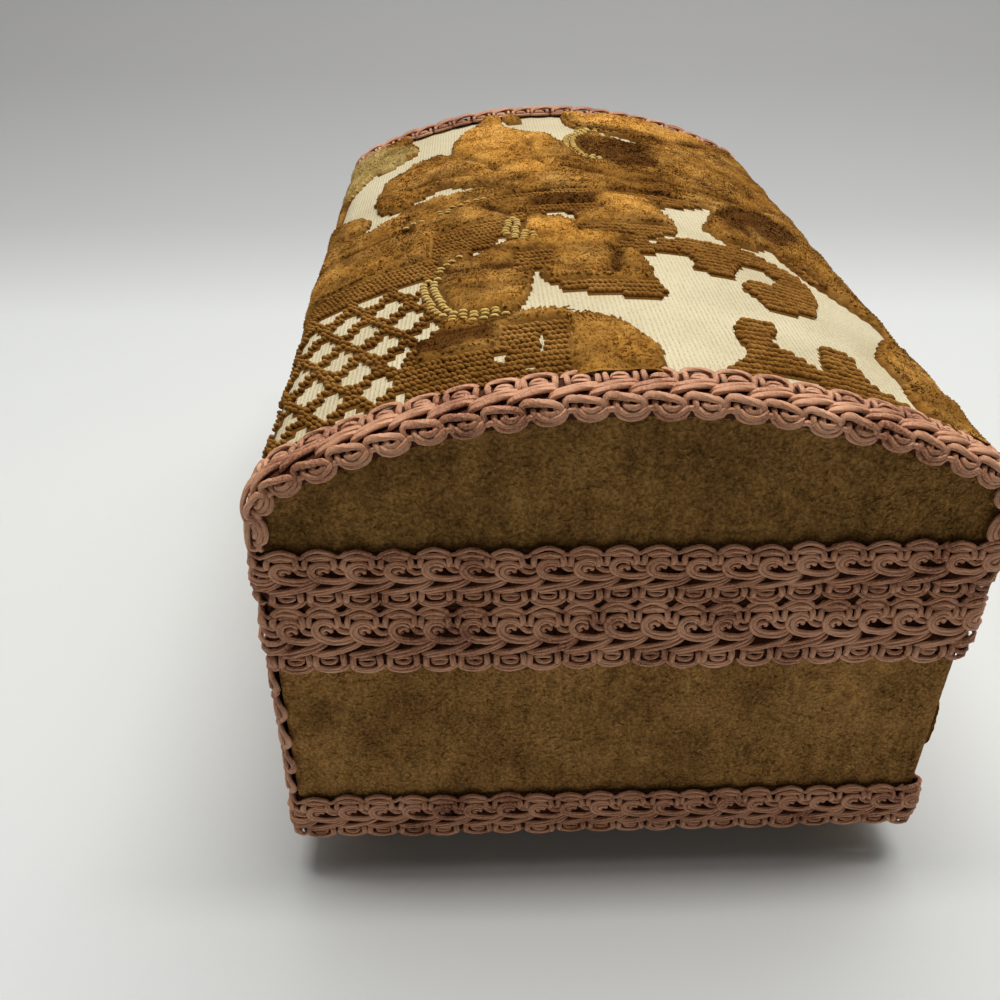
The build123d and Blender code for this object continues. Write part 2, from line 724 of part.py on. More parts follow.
nodes = {
    "front_wall": block(-half_length, half_length, -half_depth, -inner_y, foot_height, body_top),
    "back_wall": back_wall(),
    "left_end_wall": block(-half_length, -inner_x, -inner_y, inner_y, foot_height, body_top),
    "right_end_wall": block(inner_x, half_length, -inner_y, inner_y, foot_height, body_top),
    "bottom_board": bottom_board(),
    "divider": block(divider_x, well_x, -inner_y, inner_y, board_top, board_top + divider_height),
    "platform_ledges": group([
        block(-inner_x, -inner_x + ledge_width, -inner_y, inner_y, platform_z - ledge_height, platform_z),
        block(divider_x - ledge_width, divider_x, -inner_y, inner_y, platform_z - ledge_height, platform_z),
    ]),
    "movement_platform": movement_platform(),
    "left_end_velvet": end_velvet(-1),
    "right_end_velvet": end_velvet(1),
    "front_brocade": block(-half_length, half_length, -outer_y, -half_depth, foot_height, body_top),
    "back_brocade": back_brocade(),
    "base_gimp": braid_band(foot_height, base_braid_height),
    "body_rim_gimp": braid_band(body_top - rim_braid_height, rim_braid_height),
    "corner_gimps": group([corner_braid(-1), corner_braid(1)]),
    "feet": group([foot(x, y) for x, y in foot_places]),
    "well_wall_lining": lining_ring(well_x, inner_x, board_top),
    "well_floor_pad": well_floor_pad(),
    "ring_tray_lining": lining_ring(-inner_x, divider_x, platform_top),
    "ring_rolls": group(ring_rolls()),
    "hinge_body_leaves": group([body_leaf(x) for x in hinge_places]),
    "hinge_pins": group([hinge_pin(x) for x in hinge_places]),
    "movement_bedplate": movement_bedplate(),
    "comb": comb(),
    "governor_bracket": governor_bracket(),
    "lid_front_rail": block(-half_length, half_length, -half_depth, -inner_y, lid_bottom, rail_top),
    "lid_back_rail": lid_back_rail(),
    "lid_left_end": lid_end(-1),
    "lid_right_end": lid_end(1),
    "lid_dome_panel": lid_dome_panel(),
    "lid_brocade_cover": lid_brocade_cover(),
    "lid_left_velvet": lid_velvet(-1),
    "lid_right_velvet": lid_velvet(1),
    "lid_arch_gimp_left": arch_braid(-1),
    "lid_arch_gimp_right": arch_braid(1),
    "lid_rim_gimp": braid_band(lid_bottom, lid_braid_height),
    "lid_lining_board": block(
        -inner_x, inner_x, -inner_y, inner_y, lid_board_z, lid_board_z + lid_board_thickness,
    ),
    "lid_satin_lining": lid_satin_lining(),
    "mirror": mirror_glass(),
    "hinge_lid_leaves": group([lid_leaf(x) for x in hinge_places]),
    "winding_arbor": winding_arbor(),
    "winding_key": winding_key(),
    "spring_barrel": spring_barrel(),
    "pinned_cylinder": pinned_cylinder(),
    "cylinder_arbor": cylinder_arbor(),
    "cylinder_gear": cylinder_gear(),
    "governor_arbor": governor_arbor(),
    "governor_wheel": governor_wheel(),
    "governor_worm": governor_worm(),
    "governor_fan": governor_fan(),
    "stop_wire": stop_wire(),
}

for name, shape in nodes.items():
    export_step(shape, "parts/" + name + ".step")
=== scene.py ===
import json
import math
import bpy
import numpy as np
from mathutils import Matrix, Vector


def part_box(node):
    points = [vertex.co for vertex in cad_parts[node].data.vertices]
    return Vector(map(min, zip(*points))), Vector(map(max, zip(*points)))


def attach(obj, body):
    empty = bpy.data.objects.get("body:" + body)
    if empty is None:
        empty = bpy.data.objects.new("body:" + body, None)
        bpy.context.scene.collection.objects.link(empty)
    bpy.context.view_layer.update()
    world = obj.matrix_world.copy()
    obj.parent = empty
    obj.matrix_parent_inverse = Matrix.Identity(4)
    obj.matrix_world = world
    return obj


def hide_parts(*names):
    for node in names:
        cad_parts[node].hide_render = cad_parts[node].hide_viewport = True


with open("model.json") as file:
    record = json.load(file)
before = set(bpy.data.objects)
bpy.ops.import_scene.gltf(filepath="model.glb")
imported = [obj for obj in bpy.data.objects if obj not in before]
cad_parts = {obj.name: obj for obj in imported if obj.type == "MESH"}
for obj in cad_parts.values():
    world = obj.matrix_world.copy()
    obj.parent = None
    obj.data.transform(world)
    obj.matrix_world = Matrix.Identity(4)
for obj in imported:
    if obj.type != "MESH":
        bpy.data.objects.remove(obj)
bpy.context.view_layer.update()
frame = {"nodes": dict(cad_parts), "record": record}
MM = 1000.0
rng = np.random.default_rng(7)


def box_mm(node):
    low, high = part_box(node)
    return np.array(low) * MM, np.array(high) * MM


# The box's sizes in millimetres, read off the frame where it has them
COVER = 1.2
END_X = box_mm("right_end_velvet")[1][0]
SIDE_Y = box_mm("back_brocade")[1][1]
HALF_LENGTH = box_mm("front_brocade")[1][0]
HALF_DEPTH = SIDE_Y - COVER
LID_BOTTOM = box_mm("lid_front_rail")[0][2]
DOME_TOP = box_mm("lid_dome_panel")[1][2]
SIDE_HEIGHT = 20.8
CROWN = DOME_TOP - LID_BOTTOM - SIDE_HEIGHT
SHOULDER = 7.0
BODY_LOW, BODY_HIGH = 9.0, 69.0
BASE_BAND_TOP = 21.5
RIM_BAND_LOW, CORNER_TOP = 53.1, 53.6
LID_BAND_LOW, LID_BAND_TOP = 69.4, 80.4
EDGE_ROUND = 1.0


# Meshes from arrays

def put(piece, body, node=None):
    """Lets a piece ride a body, in the place of a node."""
    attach(piece, body)
    if node:
        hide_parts(node)
    return piece


def grid_quads(rows, columns):
    k = np.arange(rows * columns).reshape(rows, columns)
    return np.stack([k[:-1, :-1], k[:-1, 1:], k[1:, 1:], k[1:, :-1]], -1).reshape(-1, 4)


def ring_quads(rings, around):
    """The faces between rings of points."""
    k = np.arange(rings * around).reshape(rings, around)
    after = np.roll(k, -1, 1)
    return np.stack([k[:-1], after[:-1], after[1:], k[1:]], -1).reshape(-1, 4)


def repeated(quads, size, count):
    """The faces of many copies of one small shape of some points."""
    return (np.asarray(quads)[None] + (np.arange(count) * size)[:, None, None]).reshape(-1, 4)


def mesh_piece(name, points, quads, materials, faces=None, uv=None, tone=None, smooth=True):
    """A mesh object from points in millimetres and quads. Without quads the points are a grid.
    faces has the number of each quad's material."""
    points = np.asarray(points, dtype=np.float64)
    quads = np.asarray(grid_quads(*points.shape[:2]) if quads is None else quads, dtype=np.int32)
    mesh = bpy.data.meshes.new(name)
    mesh.vertices.add(points.size // 3)
    mesh.vertices.foreach_set("co", (points / MM).astype(np.float32).ravel())
    mesh.loops.add(quads.size)
    mesh.loops.foreach_set("vertex_index", quads.ravel())
    mesh.polygons.add(len(quads))
    mesh.polygons.foreach_set("loop_start", np.arange(0, quads.size, 4, dtype=np.int32))
    for material in materials:
        mesh.materials.append(material)
    if faces is not None:
        mesh.polygons.foreach_set("material_index", np.asarray(faces, dtype=np.int32))
    mesh.polygons.foreach_set("use_smooth", np.full(len(quads), smooth))
    if uv is not None:
        uv = np.asarray(uv, dtype=np.float32).reshape(-1, 2)
        corners = uv if len(uv) == quads.size else uv[quads.ravel()]
        mesh.uv_layers.new(name="UVMap").data.foreach_set("uv", corners.ravel())
    if tone is not None:
        attribute = mesh.attributes.new("tone", "FLOAT", "POINT")
        attribute.data.foreach_set("value", np.asarray(tone, dtype=np.float32))
    mesh.update(calc_edges=True)
    mesh.validate()
    piece = bpy.data.objects.new(name, mesh)
    bpy.context.scene.collection.objects.link(piece)
    return piece


def unit(values):
    return np.clip(values, 0, 1)


def crossed(a, b):
    return np.meshgrid(a, b, indexing="ij")


def lengths_along(points):
    return np.concatenate([[0], np.cumsum(np.linalg.norm(np.diff(points, axis=0), axis=1))])


class Tubes:
    """Many round cords collected into one mesh. Their points are (along, across, height)."""

    def __init__(self, sides):
        self.sides = sides
        self.points, self.corners, self.tone = [], [], []

    def add(self, path, width, height, tone):
        n, sides = len(path), self.sides
        step = np.gradient(path, axis=0)
        step /= np.linalg.norm(step, axis=1, keepdims=True) + 1e-9
        side = np.cross(np.array([0.0, 0.0, 1.0]), step)
        side /= np.linalg.norm(side, axis=1, keepdims=True) + 1e-9
        up = np.cross(step, side)
        turn = (np.arange(sides) * 2 * math.pi / sides)[None, :, None]
        swell = np.ones((n, 1, 1))
        swell[0] = swell[-1] = 0.35
        ring = (
            path[:, None, :]
            + side[:, None, :] * (width * swell) * np.cos(turn)
            + up[:, None, :] * (height * swell) * np.sin(turn)
        )
        along = lengths_along(path)
        low, first = crossed(along[:-1], np.arange(sides) / sides)
        high, second = np.broadcast_to(along[1:, None], low.shape), first + 1 / sides
        corners = np.stack([low, first, low, second, high, second, high, first], -1)
        self.points.append(ring.reshape(-1, 3))
        self.corners.append(corners.reshape(-1, 2))
        self.tone.append(np.full(n * sides, tone))

    def build(self, name, place, material, part=slice(None)):
        """One mesh of all cords or a part of them."""
        points = self.points[part]
        starts = np.cumsum([0] + [len(ring) for ring in points])
        quads = [ring_quads(len(ring) // self.sides, self.sides) + start
                 for ring, start in zip(points, starts)]
        return mesh_piece(name, place(np.vstack(points)), np.vstack(quads), [material],
                          uv=np.vstack(self.corners[part]), tone=np.concatenate(self.tone[part]))


def rows_of(text):
    """An array from text with a comma between its rows."""
    return np.array([[float(word) for word in row.split()] for row in text.split(",")])


def outlines(text):
    return [rows_of(outline) for outline in text.split(";")]


def curve_through(points, count):
    """Evenly spread points on a smooth curve through the given ones."""
    p = np.asarray(points, dtype=float)
    p = np.vstack([2 * p[0] - p[1], p, 2 * p[-1] - p[-2]])
    out = []
    for k in range(len(p) - 3):
        t = np.linspace(0, 1, 12, endpoint=False)[:, None]
        a, b, c, d = p[k], p[k + 1], p[k + 2], p[k + 3]
        bend = (2 * a - 5 * b + 4 * c - d) * t ** 2
        out.append(0.5 * (2 * b + (c - a) * t + bend + (3 * b - a - 3 * c + d) * t ** 3))
    out = np.vstack(out + [p[-2][None]])
    length = lengths_along(out)
    even = np.linspace(0, length[-1], count)
    return np.stack([np.interp(even, length, out[:, i]) for i in range(out.shape[1])], 1)


def noise(u, v, scale, seed):
    """Smooth random values from -1 to 1 over a plane."""
    table = np.random.default_rng(seed).uniform(-1, 1, (64, 64))
    a, b = np.asarray(u) / scale + 1000.0, np.asarray(v) / scale + 1000.0
    i, j = np.floor(a).astype(int), np.floor(b).astype(int)
    f, g = a - i, b - j
    f, g = f * f * (3 - 2 * f), g * g * (3 - 2 * g)
    i0, j0, i1, j1 = i % 64, j % 64, (i + 1) % 64, (j + 1) % 64
    low = table[i0, j0] * (1 - f) + table[i1, j0] * f
    high = table[i0, j1] * (1 - f) + table[i1, j1] * f
    return low * (1 - g) + high * g


# Materials

def srgb(code):
    """A colour from its six-digit code."""
    parts = [int(code[k:k + 2], 16) / 255.0 for k in (0, 2, 4)]
    return (*[c / 12.92 if c <= 0.04045 else ((c + 0.055) / 1.055) ** 2.4 for c in parts], 1.0)


class Nodes:
    """A node tree with a few short ways to add to it. A colour is a code or a tuple."""

    def __init__(self, tree):
        self.tree = tree

    def node(self, kind, **values):
        made = self.tree.nodes.new(kind)
        for key, value in values.items():
            if key in made.inputs:
                made.inputs[key].default_value = value
            else:
                setattr(made, key, value)
        return made

    def link(self, a, b):
        self.tree.links.new(a, b)

    def feed(self, socket, value):
        if isinstance(value, bpy.types.NodeSocket):
            self.link(value, socket)
        else:
            socket.default_value = srgb(value) if isinstance(value, str) else value

    def math(self, operation, a, b=0.0, clamp=False):
        made = self.node("ShaderNodeMath", operation=operation, use_clamp=clamp)
        self.feed(made.inputs[0], a)
        self.feed(made.inputs[1], b)
        return made.outputs[0]

    def total(self, *terms):
        """The sum of (value, weight) terms."""
        parts = [self.math("MULTIPLY", value, weight) for value, weight in terms]
        while len(parts) > 1:
            parts[:2] = [self.math("ADD", *parts[:2])]
        return parts[0]

    def mix(self, factor, a, b):
        made = self.node("ShaderNodeMix", data_type="RGBA")
        for socket, value in ((made.inputs["Factor"], factor), (made.inputs[6], a), (made.inputs[7], b)):
            self.feed(socket, value)
        return made.outputs[2]

    def ramp(self, value, *stops):
        made = self.node("ShaderNodeValToRGB")
        elements = made.color_ramp.elements
        while len(elements) < len(stops):
            elements.new(0.5)
        for element, (place, colour) in zip(elements, stops):
            element.position = place
            element.color = srgb(colour) if isinstance(colour, str) else colour
        self.link(value, made.inputs["Fac"])
        return made.outputs["Color"]


class Shader(Nodes):
    """A principled material."""

    def __init__(self, name, roughness=0.6, metallic=0.0, sheen=0.0, specular=0.5):
        self.material = bpy.data.materials.new(name)
        self.material.use_nodes = True
        super().__init__(self.material.node_tree)
        self.bsdf = self.tree.nodes["Principled BSDF"]
        self.bsdf.inputs["Roughness"].default_value = roughness
        self.bsdf.inputs["Metallic"].default_value = metallic
        self.bsdf.inputs["Specular IOR Level"].default_value = specular
        if sheen:
            self.bsdf.inputs["Sheen Weight"].default_value = sheen
            self.bsdf.inputs["Sheen Roughness"].default_value = 0.35

    def noise(self, scale, detail=3.0, roughness=0.55, stretch=(1, 1, 1)):
        """Noise over the object's own millimetres."""
        mapping = self.node("ShaderNodeMapping", Scale=[MM * share for share in stretch])
        self.link(self.node("ShaderNodeTexCoord").outputs["Object"], mapping.inputs["Vector"])
        made = self.node("ShaderNodeTexNoise", Scale=scale, Detail=detail, Roughness=roughness)
        self.link(mapping.outputs["Vector"], made.inputs["Vector"])
        return made.outputs["Fac"]

    def uv(self):
        split = self.node("ShaderNodeSeparateXYZ")
        self.link(self.node("ShaderNodeUVMap").outputs["UV"], split.inputs[0])
        return split.outputs["X"], split.outputs["Y"]

    def wave(self, value):
        return self.math("ABSOLUTE", self.math("SINE", self.math("MULTIPLY", value, math.pi)))

    def rest(self, value, share=1.0):
        """What a value lacks to one, or a share of that."""
        return self.math("MULTIPLY", self.math("SUBTRACT", 1.0, value, clamp=True), share)

    def toned(self, base, dark):
        """Turns dark where the mesh's tone is low."""
        tone = self.node("ShaderNodeAttribute", attribute_name="tone").outputs["Fac"]
        return self.mix(self.rest(tone), base, dark)

    def done(self, colour, *bumps):
        """Sets the colour and the bumps (height, strength, distance)."""
        self.link(colour, self.bsdf.inputs["Base Color"])
        normal = None
        for height, strength, distance in bumps:
            made = self.node("ShaderNodeBump", Strength=strength, Distance=distance)
            self.link(height, made.inputs["Height"])
            if normal is not None:
                self.link(normal, made.inputs["Normal"])
            normal = made.outputs["Normal"]
        self.link(normal, self.bsdf.inputs["Normal"])
        return self.material


def cord_material(name, light, middle, dark):
    """Rayon cord: fine thread wrapped on the slant round a few strands."""
    s = Shader(name, roughness=0.55, sheen=0.15, specular=0.3)
    along, around = s.uv()
    wrap = s.wave(s.total((along, 3.4), (around, 1.0)))
    strands = s.wave(s.total((around, 4.0), (along, 0.22)))
    value = s.total((s.noise(0.09, 2.0), 0.6), (s.noise(2.5, 2.0), 0.4))
    base = s.toned(s.ramp(value, (0.34, dark), (0.48, middle), (0.64, light)), dark)
    # Darker in the grooves between the strands and between the wraps of thread: painted shade.
    base = s.mix(s.math("MULTIPLY", s.math("LESS_THAN", strands, 0.22), 0.4), base, dark)
    base = s.mix(s.rest(wrap, 0.16), base, dark)
    return s.done(base, (strands, 0.55, 0.00016), (wrap, 0.3, 0.00007))


def velvet_material(name, light, middle, dark):
    s = Shader(name, roughness=0.95, specular=0.06)
    grain = s.noise(1.6, 3.0, 0.7)
    streak = s.noise(0.35, 4.0, 0.65, (1, 1, 0.35))
    value = s.total((s.noise(0.06, 4.0, 0.6), 0.3), (streak, 0.2), (grain, 0.5))
    return s.done(s.ramp(value, (0.38, dark), (0.5, middle), (0.62, light)), (grain, 0.6, 0.0005))


def pile_material(name, light, middle, dark, groove):
    s = Shader(name, roughness=0.9, specular=0.06)
    grain = s.noise(1.3, 4.0, 0.7)
    value = s.total((s.noise(0.07, 3.0, 0.6), 0.55), (grain, 0.45))
    base = s.ramp(value, (0.36, dark), (0.5, middle), (0.64, light))
    return s.done(s.toned(base, groove), (grain, 0.7, 0.0006))


def ground_material(name, light, middle, dark):
    """Ivory ribbed weave: fine ribs along the box with short dark pricks between them."""
    s = Shader(name, roughness=0.7, sheen=0.15, specular=0.3)
    x, a = s.uv()
    zigzag = s.math("PINGPONG", s.math("MULTIPLY", x, 0.9), 0.5)
    ribs = s.wave(s.total((a, 1.18), (s.noise(0.25, 2.0), 0.5), (zigzag, 0.28)))
    pricks = s.math("GREATER_THAN", s.noise(1.7, 1.0), 0.52)
    gap = s.math("MULTIPLY", s.math("LESS_THAN", ribs, 0.3), pricks)
    grain = s.noise(2.2, 2.0)
    base = s.ramp(s.total((s.noise(0.05, 3.0), 0.6), (grain, 0.4)), (0.34, middle), (0.62, light))
    base = s.mix(s.math("MULTIPLY", gap, 0.55), base, dark)
    # Darker in the grooves between the ribs: painted shade.
    base = s.mix(s.rest(ribs, 0.25), base, middle)
    return s.done(base, (ribs, 0.5, 0.00018), (grain, 0.35, 0.0002))


def metal_material(name, colour, dark, roughness, metallic=1.0, wear=0.25):
    s = Shader(name, roughness=roughness, metallic=metallic)
    scratches = s.noise(1.5, 3.0, stretch=(1, 6, 1))
    worn = s.math("ADD", s.math("MULTIPLY", scratches, wear), roughness - wear / 2)
    s.link(worn, s.bsdf.inputs["Roughness"])
    return s.done(s.ramp(s.noise(0.35, 4.0, 0.6), (0.35, dark), (0.6, colour)), (scratches, 0.15, 0.0001))


def wood_material(name, light, dark, roughness=0.6, stretch=(0.12, 1, 1)):
    s = Shader(name, roughness=roughness, specular=0.3)
    grain = s.noise(0.5, 5.0, 0.65, stretch)
    value = s.total((grain, 0.7), (s.noise(3.0, 2.0, stretch=stretch), 0.3))
    return s.done(s.ramp(value, (0.35, dark), (0.65, light)), (grain, 0.25, 0.0003))


def satin_material(name, light, dark):
    s = Shader(name, roughness=0.38, sheen=0.2, specular=0.4)
    threads = s.noise(1.0, 2.0, stretch=(6, 0.6, 6))
    value = s.total((s.noise(0.05, 3.0), 0.6), (threads, 0.4))
    return s.done(s.ramp(value, (0.35, dark), (0.65, light)), (threads, 0.2, 0.0002))


GIMP = cord_material("gimp_cord", "e0aa86", "ca926e", "7c442a")
# The backing behind the braid's cords is dark: painted shade in the gaps between them.
GIMP_BACK_SHADE = velvet_material("gimp_back", "603a2a", "4c2b1e", "361d14")
VELVET = velvet_material("olive_velvet", "bc8e52", "916a3a", "604220")
# The same velvet in darker colours for the lid's ends: painted shade under the arch braid.
VELVET_LID_SHADED = velvet_material("olive_velvet_lid_painted_shade", "aa8148", "825f32", "563b1c")
FIBRE = velvet_material("velvet_fibre", "b08a50", "8c6634", "5c3e1e")
PILE = pile_material("golden_pile", "f2bb66", "ce9542", "9e6a26", "502e0c")
LOOPS = pile_material("golden_loops", "be8c46", "9e6e30", "784e1e", "42250a")
GOLD = pile_material("gold_stitch", "f0d48a", "debc6c", "ba9248", "785622")
OLIVE = pile_material("pale_gold_pile", "e8d292", "d8bc76", "b89854", "785a28")
GROUND = ground_material("ivory_ground", "d4c8a5", "bcae8a", "685a3a")


# The lid's section

def section(grow):
    """The lid's outline grown by some millimetres: a place and a normal for each distance from the crown."""
    radius = (HALF_DEPTH ** 2 + CROWN ** 2) / (2 * CROWN)
    centre = LID_BOTTOM + SIDE_HEIGHT + CROWN - radius
    half, radius, shoulder = HALF_DEPTH + grow, radius + grow, SHOULDER + grow
    yc = half - shoulder
    zc = centre + math.sqrt((radius - shoulder) ** 2 - yc ** 2)
    tip = math.asin(yc / (radius - shoulder))
    a1 = radius * tip
    a2 = a1 + shoulder * (math.pi / 2 - tip)

    def place(a):
        a = np.asarray(a, dtype=float)
        sign = np.where(a < 0, -1.0, 1.0)
        b = np.abs(a)
        angle = np.where(b <= a1, b / radius, np.minimum(tip + (b - a1) / shoulder, math.pi / 2))
        ny, nz = np.sin(angle), np.cos(angle)
        y = np.where(b <= a1, radius * ny, yc + shoulder * ny)
        z = np.where(b <= a1, centre + radius * nz, zc + shoulder * nz)
        y = np.where(b > a2, half, y)
        z = np.where(b > a2, zc - (b - a2), z)
        return sign * y, z, sign * ny, nz

    return place, a2, zc


cover_place, cover_turn, cover_shoulder = section(COVER)


# Braid

CELL = 6.15
CELL_WIDTH = 14.8
SCROLL_LINE = 7.9
PAIR = 0.62


def doubled(path, count):
    """Two strands side by side along a path."""
    path = curve_through(path, count)
    step = np.gradient(path, axis=0)
    side = np.stack([-step[:, 1], step[:, 0], 0 * step[:, 0]], 1)
    side /= np.linalg.norm(side, axis=1, keepdims=True)
    return [path + side * PAIR / 2, path - side * PAIR / 2]


def strokes(text):
    """Cords (path, thickness) from lines of text: one strand or two, how many points to lay, the thickness
    and the path."""
    made = []
    for line in text.strip().replace(",\n", ",").splitlines():
        strands, count, thick, path = line.split(maxsplit=3)
        path, count = rows_of(path), int(count)
        for strand in (doubled(path, count) if strands == "2" else [path]):
            made.append((curve_through(strand, count), float(thick)))
    return made


# One repeat of the braid lying flat. From the top: domes and their necks, upright ties, the scroll of two
# strands with a curl in its head, two hooks, the long rising strands, and the knots, ties and scallops of
# the other edge
FLAT_STROKES = strokes("""
    1 10 0.46 -3 12.4 0.6, -2.2 13.4 0.9, -0.4 14.2 1, 1.4 13.5 0.95, 2.4 12.6 0.7
    1 9 0.44 -2.6 12.2 0.9, -1.5 12.95 1.25, -0.3 13.3 1.35, 1 12.9 1.25, 2 12.1 0.9
    1 7 0.42 -2 11.9 0.8, -0.9 12.3 1.15, 0.4 12.35 1.15, 1.6 11.8 0.8
    1 7 0.38 1.3 13.2 0.5, 2.5 12.65 0.95, 3.3 12.85 0.95, 4.3 13.6 0.5
    1 7 0.54 -2.3 12.6 0.9, -2.65 11.7 1.45, -2.5 10.8 1.35, -2.1 10.1 0.7
    1 7 0.54 1.9 12.6 0.9, 2.15 11.8 1.5, 2.05 10.9 1.45, 1.6 10.2 0.9
    2 24 0.4 1.2 9.8 1, 1.3 10.7 1.3, 0.55 11.45 1.5, -0.7 11.45 1.6, -1.6 10.6 1.66, -1.6 9.4 1.7,
        -0.7 8.35 1.72, 1 7.8 1.75, 3 7.7 1.7, 4.5 8.1 1.3, 5.2 8.8 0.7
    1 10 0.44 0.75 8.95 0.9, 0.8 9.8 1.3, 0.1 10.25 1.45, -0.55 9.8 1.4, -0.4 9.1 1.3, 0.2 9 1.2
    1 7 0.5 1.6 10.3 0.7, 2.5 9.45 1.2, 3.5 9.2 1.25, 4.6 9.5 0.8
    1 7 0.46 2 11.2 0.8, 2.9 10.5 1.1, 3.7 10.5 1.1, 4.4 10.9 0.7
    2 13 0.4 -2.9 4 0.6, -2 4.7 1.3, 0.3 5.3 1.66, 2.6 5.85 1.6, 4.6 6.4 1.15, 5.8 6.9 0.4
    1 8 0.4 -1.5 3.2 0.6, -0.7 3.75 1.1, 0.7 3.75 1.1, 1.5 3.2 0.6
    1 8 0.4 -1.5 3.1 0.6, -0.7 2.6 1.05, 0.7 2.6 1.05, 1.5 3.1 0.6
    1 7 0.56 -2.2325 4.4 0.7, -2.35 3.7 1.35, -2.397 2.9 1.4, -2.256 2.1 0.9
    1 7 0.56 2.185 4.4 0.7, 2.3 3.7 1.35, 2.346 2.9 1.4, 2.208 2.1 0.9
    1 11 0.44 -3.1 1.9 0.5, -1.9 0.9 0.85, 0 0.5 0.95, 1.9 0.9 0.85, 3.1 1.9 0.5
    1 9 0.4 -2.3 1.95 0.7, -1.2 1.5 1.1, 0 1.4 1.15, 1.2 1.5 1.1, 2.3 1.95 0.7
""")
# One repeat as it shows bent over the arch's edge: the hook and its bars, cupped strands, rising strands
# and knots
EDGE_STROKES = strokes("""
    1 22 0.52 -2.3 9.7 0.35, -2.75 8.9 0.8, -2.2 8.3 1.1, -0.9 8 1.25, 1 7.75 1.3, 2.2 7.6 1.25, 3 7.75 1,
        3.1 8.5 0.6, 2.7 9.3 0.3
    1 6 0.48 -2 8.2 0.35, -1.9 8.6 0.7, -2 9.2 0.95, -2.1 9.9 0.9
    1 6 0.48 -0.2 8.2 0.35, -0.1 8.6 0.7, -0.2 9.2 0.95, -0.3 9.9 0.9
    1 6 0.48 1.5 8.2 0.35, 1.6 8.6 0.7, 1.5 9.2 0.95, 1.4 9.9 0.9
    1 10 0.46 -3.7 9.2 0.5, -2.8 10.55 0.95, -0.9 11 1.05, 1 10.55 0.95, 1.9 9.2 0.5
    1 10 0.46 -3.3 8.95 0.8, -2.3 9.85 1.2, -0.9 10.2 1.3, 0.5 9.85 1.2, 1.5 8.95 0.8
    1 10 0.44 -2.5 8.8 0.8, -1.4 9.35 1.2, -0.3 9.35 1.2, 0.7 8.8 0.8
    1 10 0.46 1.3 9.9 0.5, 2.2 9.35 1, 3.1 9.9 0.5
    1 13 0.5 -2.6 4.9 0.5, -1.5 5.5 1.1, 0.6 6.1 1.35, 2.8 6.55 1.3, 4.6 6.9 0.9, 5.4 7.1 0.4
    1 13 0.5 -2.6 3.95 0.5, -1.5 4.55 1.1, 0.6 5.15 1.35, 2.8 5.6 1.3, 4.6 5.95 0.9, 5.4 6.15 0.4
    1 8 0.36 -1.5 3.1 0.5, -0.7 3.45 0.95, 0.7 3.45 0.95, 1.5 3.1 0.5
    1 8 0.36 -1.5 2.9 0.5, -0.7 2.5 0.9, 0.7 2.5 0.9, 1.5 2.9 0.5
    1 7 0.5 -2.2325 4.1 0.5, -2.35 3.4 1.1, -2.397 2.7 1.1, -2.256 2 0.7
    1 7 0.5 2.185 4.1 0.5, 2.3 3.4 1.1, 2.346 2.7 1.1, 2.208 2 0.7
    1 11 0.44 -3.1 1.8 0.4, -1.9 1.1 0.7, 0 0.85 0.75, 1.9 1.1 0.7, 3.1 1.8 0.4
""")


def braid_cords(length, turned=False, repeat=FLAT_STROKES, clear=None):
    """The cords of a run of braid of the given length, along from 0, across from 0 to CELL_WIDTH.
    clear(points) is False for a cord that would run into something."""
    repeats = max(1, round(length / CELL))
    pitch = length / repeats
    cords = Tubes(7)
    for k in range(repeats):
        shift = np.array([rng.normal(0, 0.14), rng.normal(0, 0.12), rng.normal(0, 0.06)])
        shift[1] += 0.15 * math.sin(k * 0.9) + 0.12 * math.sin(k * 0.37 + 1.0)
        lean = rng.normal(0, 0.025)
        for path, thick in repeat:
            p = path * (pitch / CELL, 1.0, 1.0) + shift + rng.normal(0, 0.07, 3)
            p[:, 0] += (p[:, 1] - CELL_WIDTH / 2) * lean
            p[:, 1] += rng.normal(0, 0.035, len(p))
            if turned:
                p[:, 0] *= -1
            p[:, 0] += (k + 0.5) * pitch
            tone = 0.9 + 0.1 * rng.random()
            if clear is None or clear(p):
                cords.add(p, thick, thick * 0.92, tone)
    return cords


def round_box(reach_x, reach_y, corner):
    """A walk round the box, seen from above, starting at the front corner of its right end."""
    legs = [(reach_x, reach_y), (reach_y, reach_x), (reach_x, reach_y), (reach_y, reach_x)]
    straight = [2 * (run - corner) for _, run in legs]
    arc = corner * math.pi / 2
    total = sum(straight) + 4 * arc

    def place(s):
        s = np.mod(np.asarray(s, dtype=float), total)
        point, normal = np.zeros((len(s), 2)), np.zeros((len(s), 2))
        start = 0.0
        for k, (reach, run) in enumerate(legs):
            turn = k * math.pi / 2
            out = np.array([math.cos(turn), math.sin(turn)])
            on = np.array([-math.sin(turn), math.cos(turn)])
            here = (s >= start) & (s <= start + straight[k])
            d = s[here] - start - straight[k] / 2
            point[here] = out * reach + np.outer(d, on)
            normal[here] = out
            start += straight[k]
            here = (s > start) & (s < start + arc)
            angle = (s[here] - start) / corner
            n = np.outer(np.cos(angle), out) + np.outer(np.sin(angle), on)
            point[here] = out * (reach - corner) + on * (run - corner) + n * corner
            normal[here] = n
            start += arc
        return point, normal

    return place, total


WALK, AROUND = round_box(END_X, SIDE_Y, EDGE_ROUND)


def band_place(low, high, hang=0.0):
    """Carries (along, across, height) onto an upright band round the box. hang lets its foot drop
    below low."""
    def place(p):
        point, normal = WALK(p[:, 0])
        share = p[:, 1] / CELL_WIDTH
        front = normal[:, 1] < 0.7
        foot = np.where(front, low - hang, low + 0.2)
        z = foot + share * (high - foot)
        tuck = unit(1.0 - np.abs(share) / 0.12) * (0.5 if hang == 0 else 0.0)
        height = p[:, 2] - tuck
        return np.column_stack([point + normal * height[:, None], z])
    return place


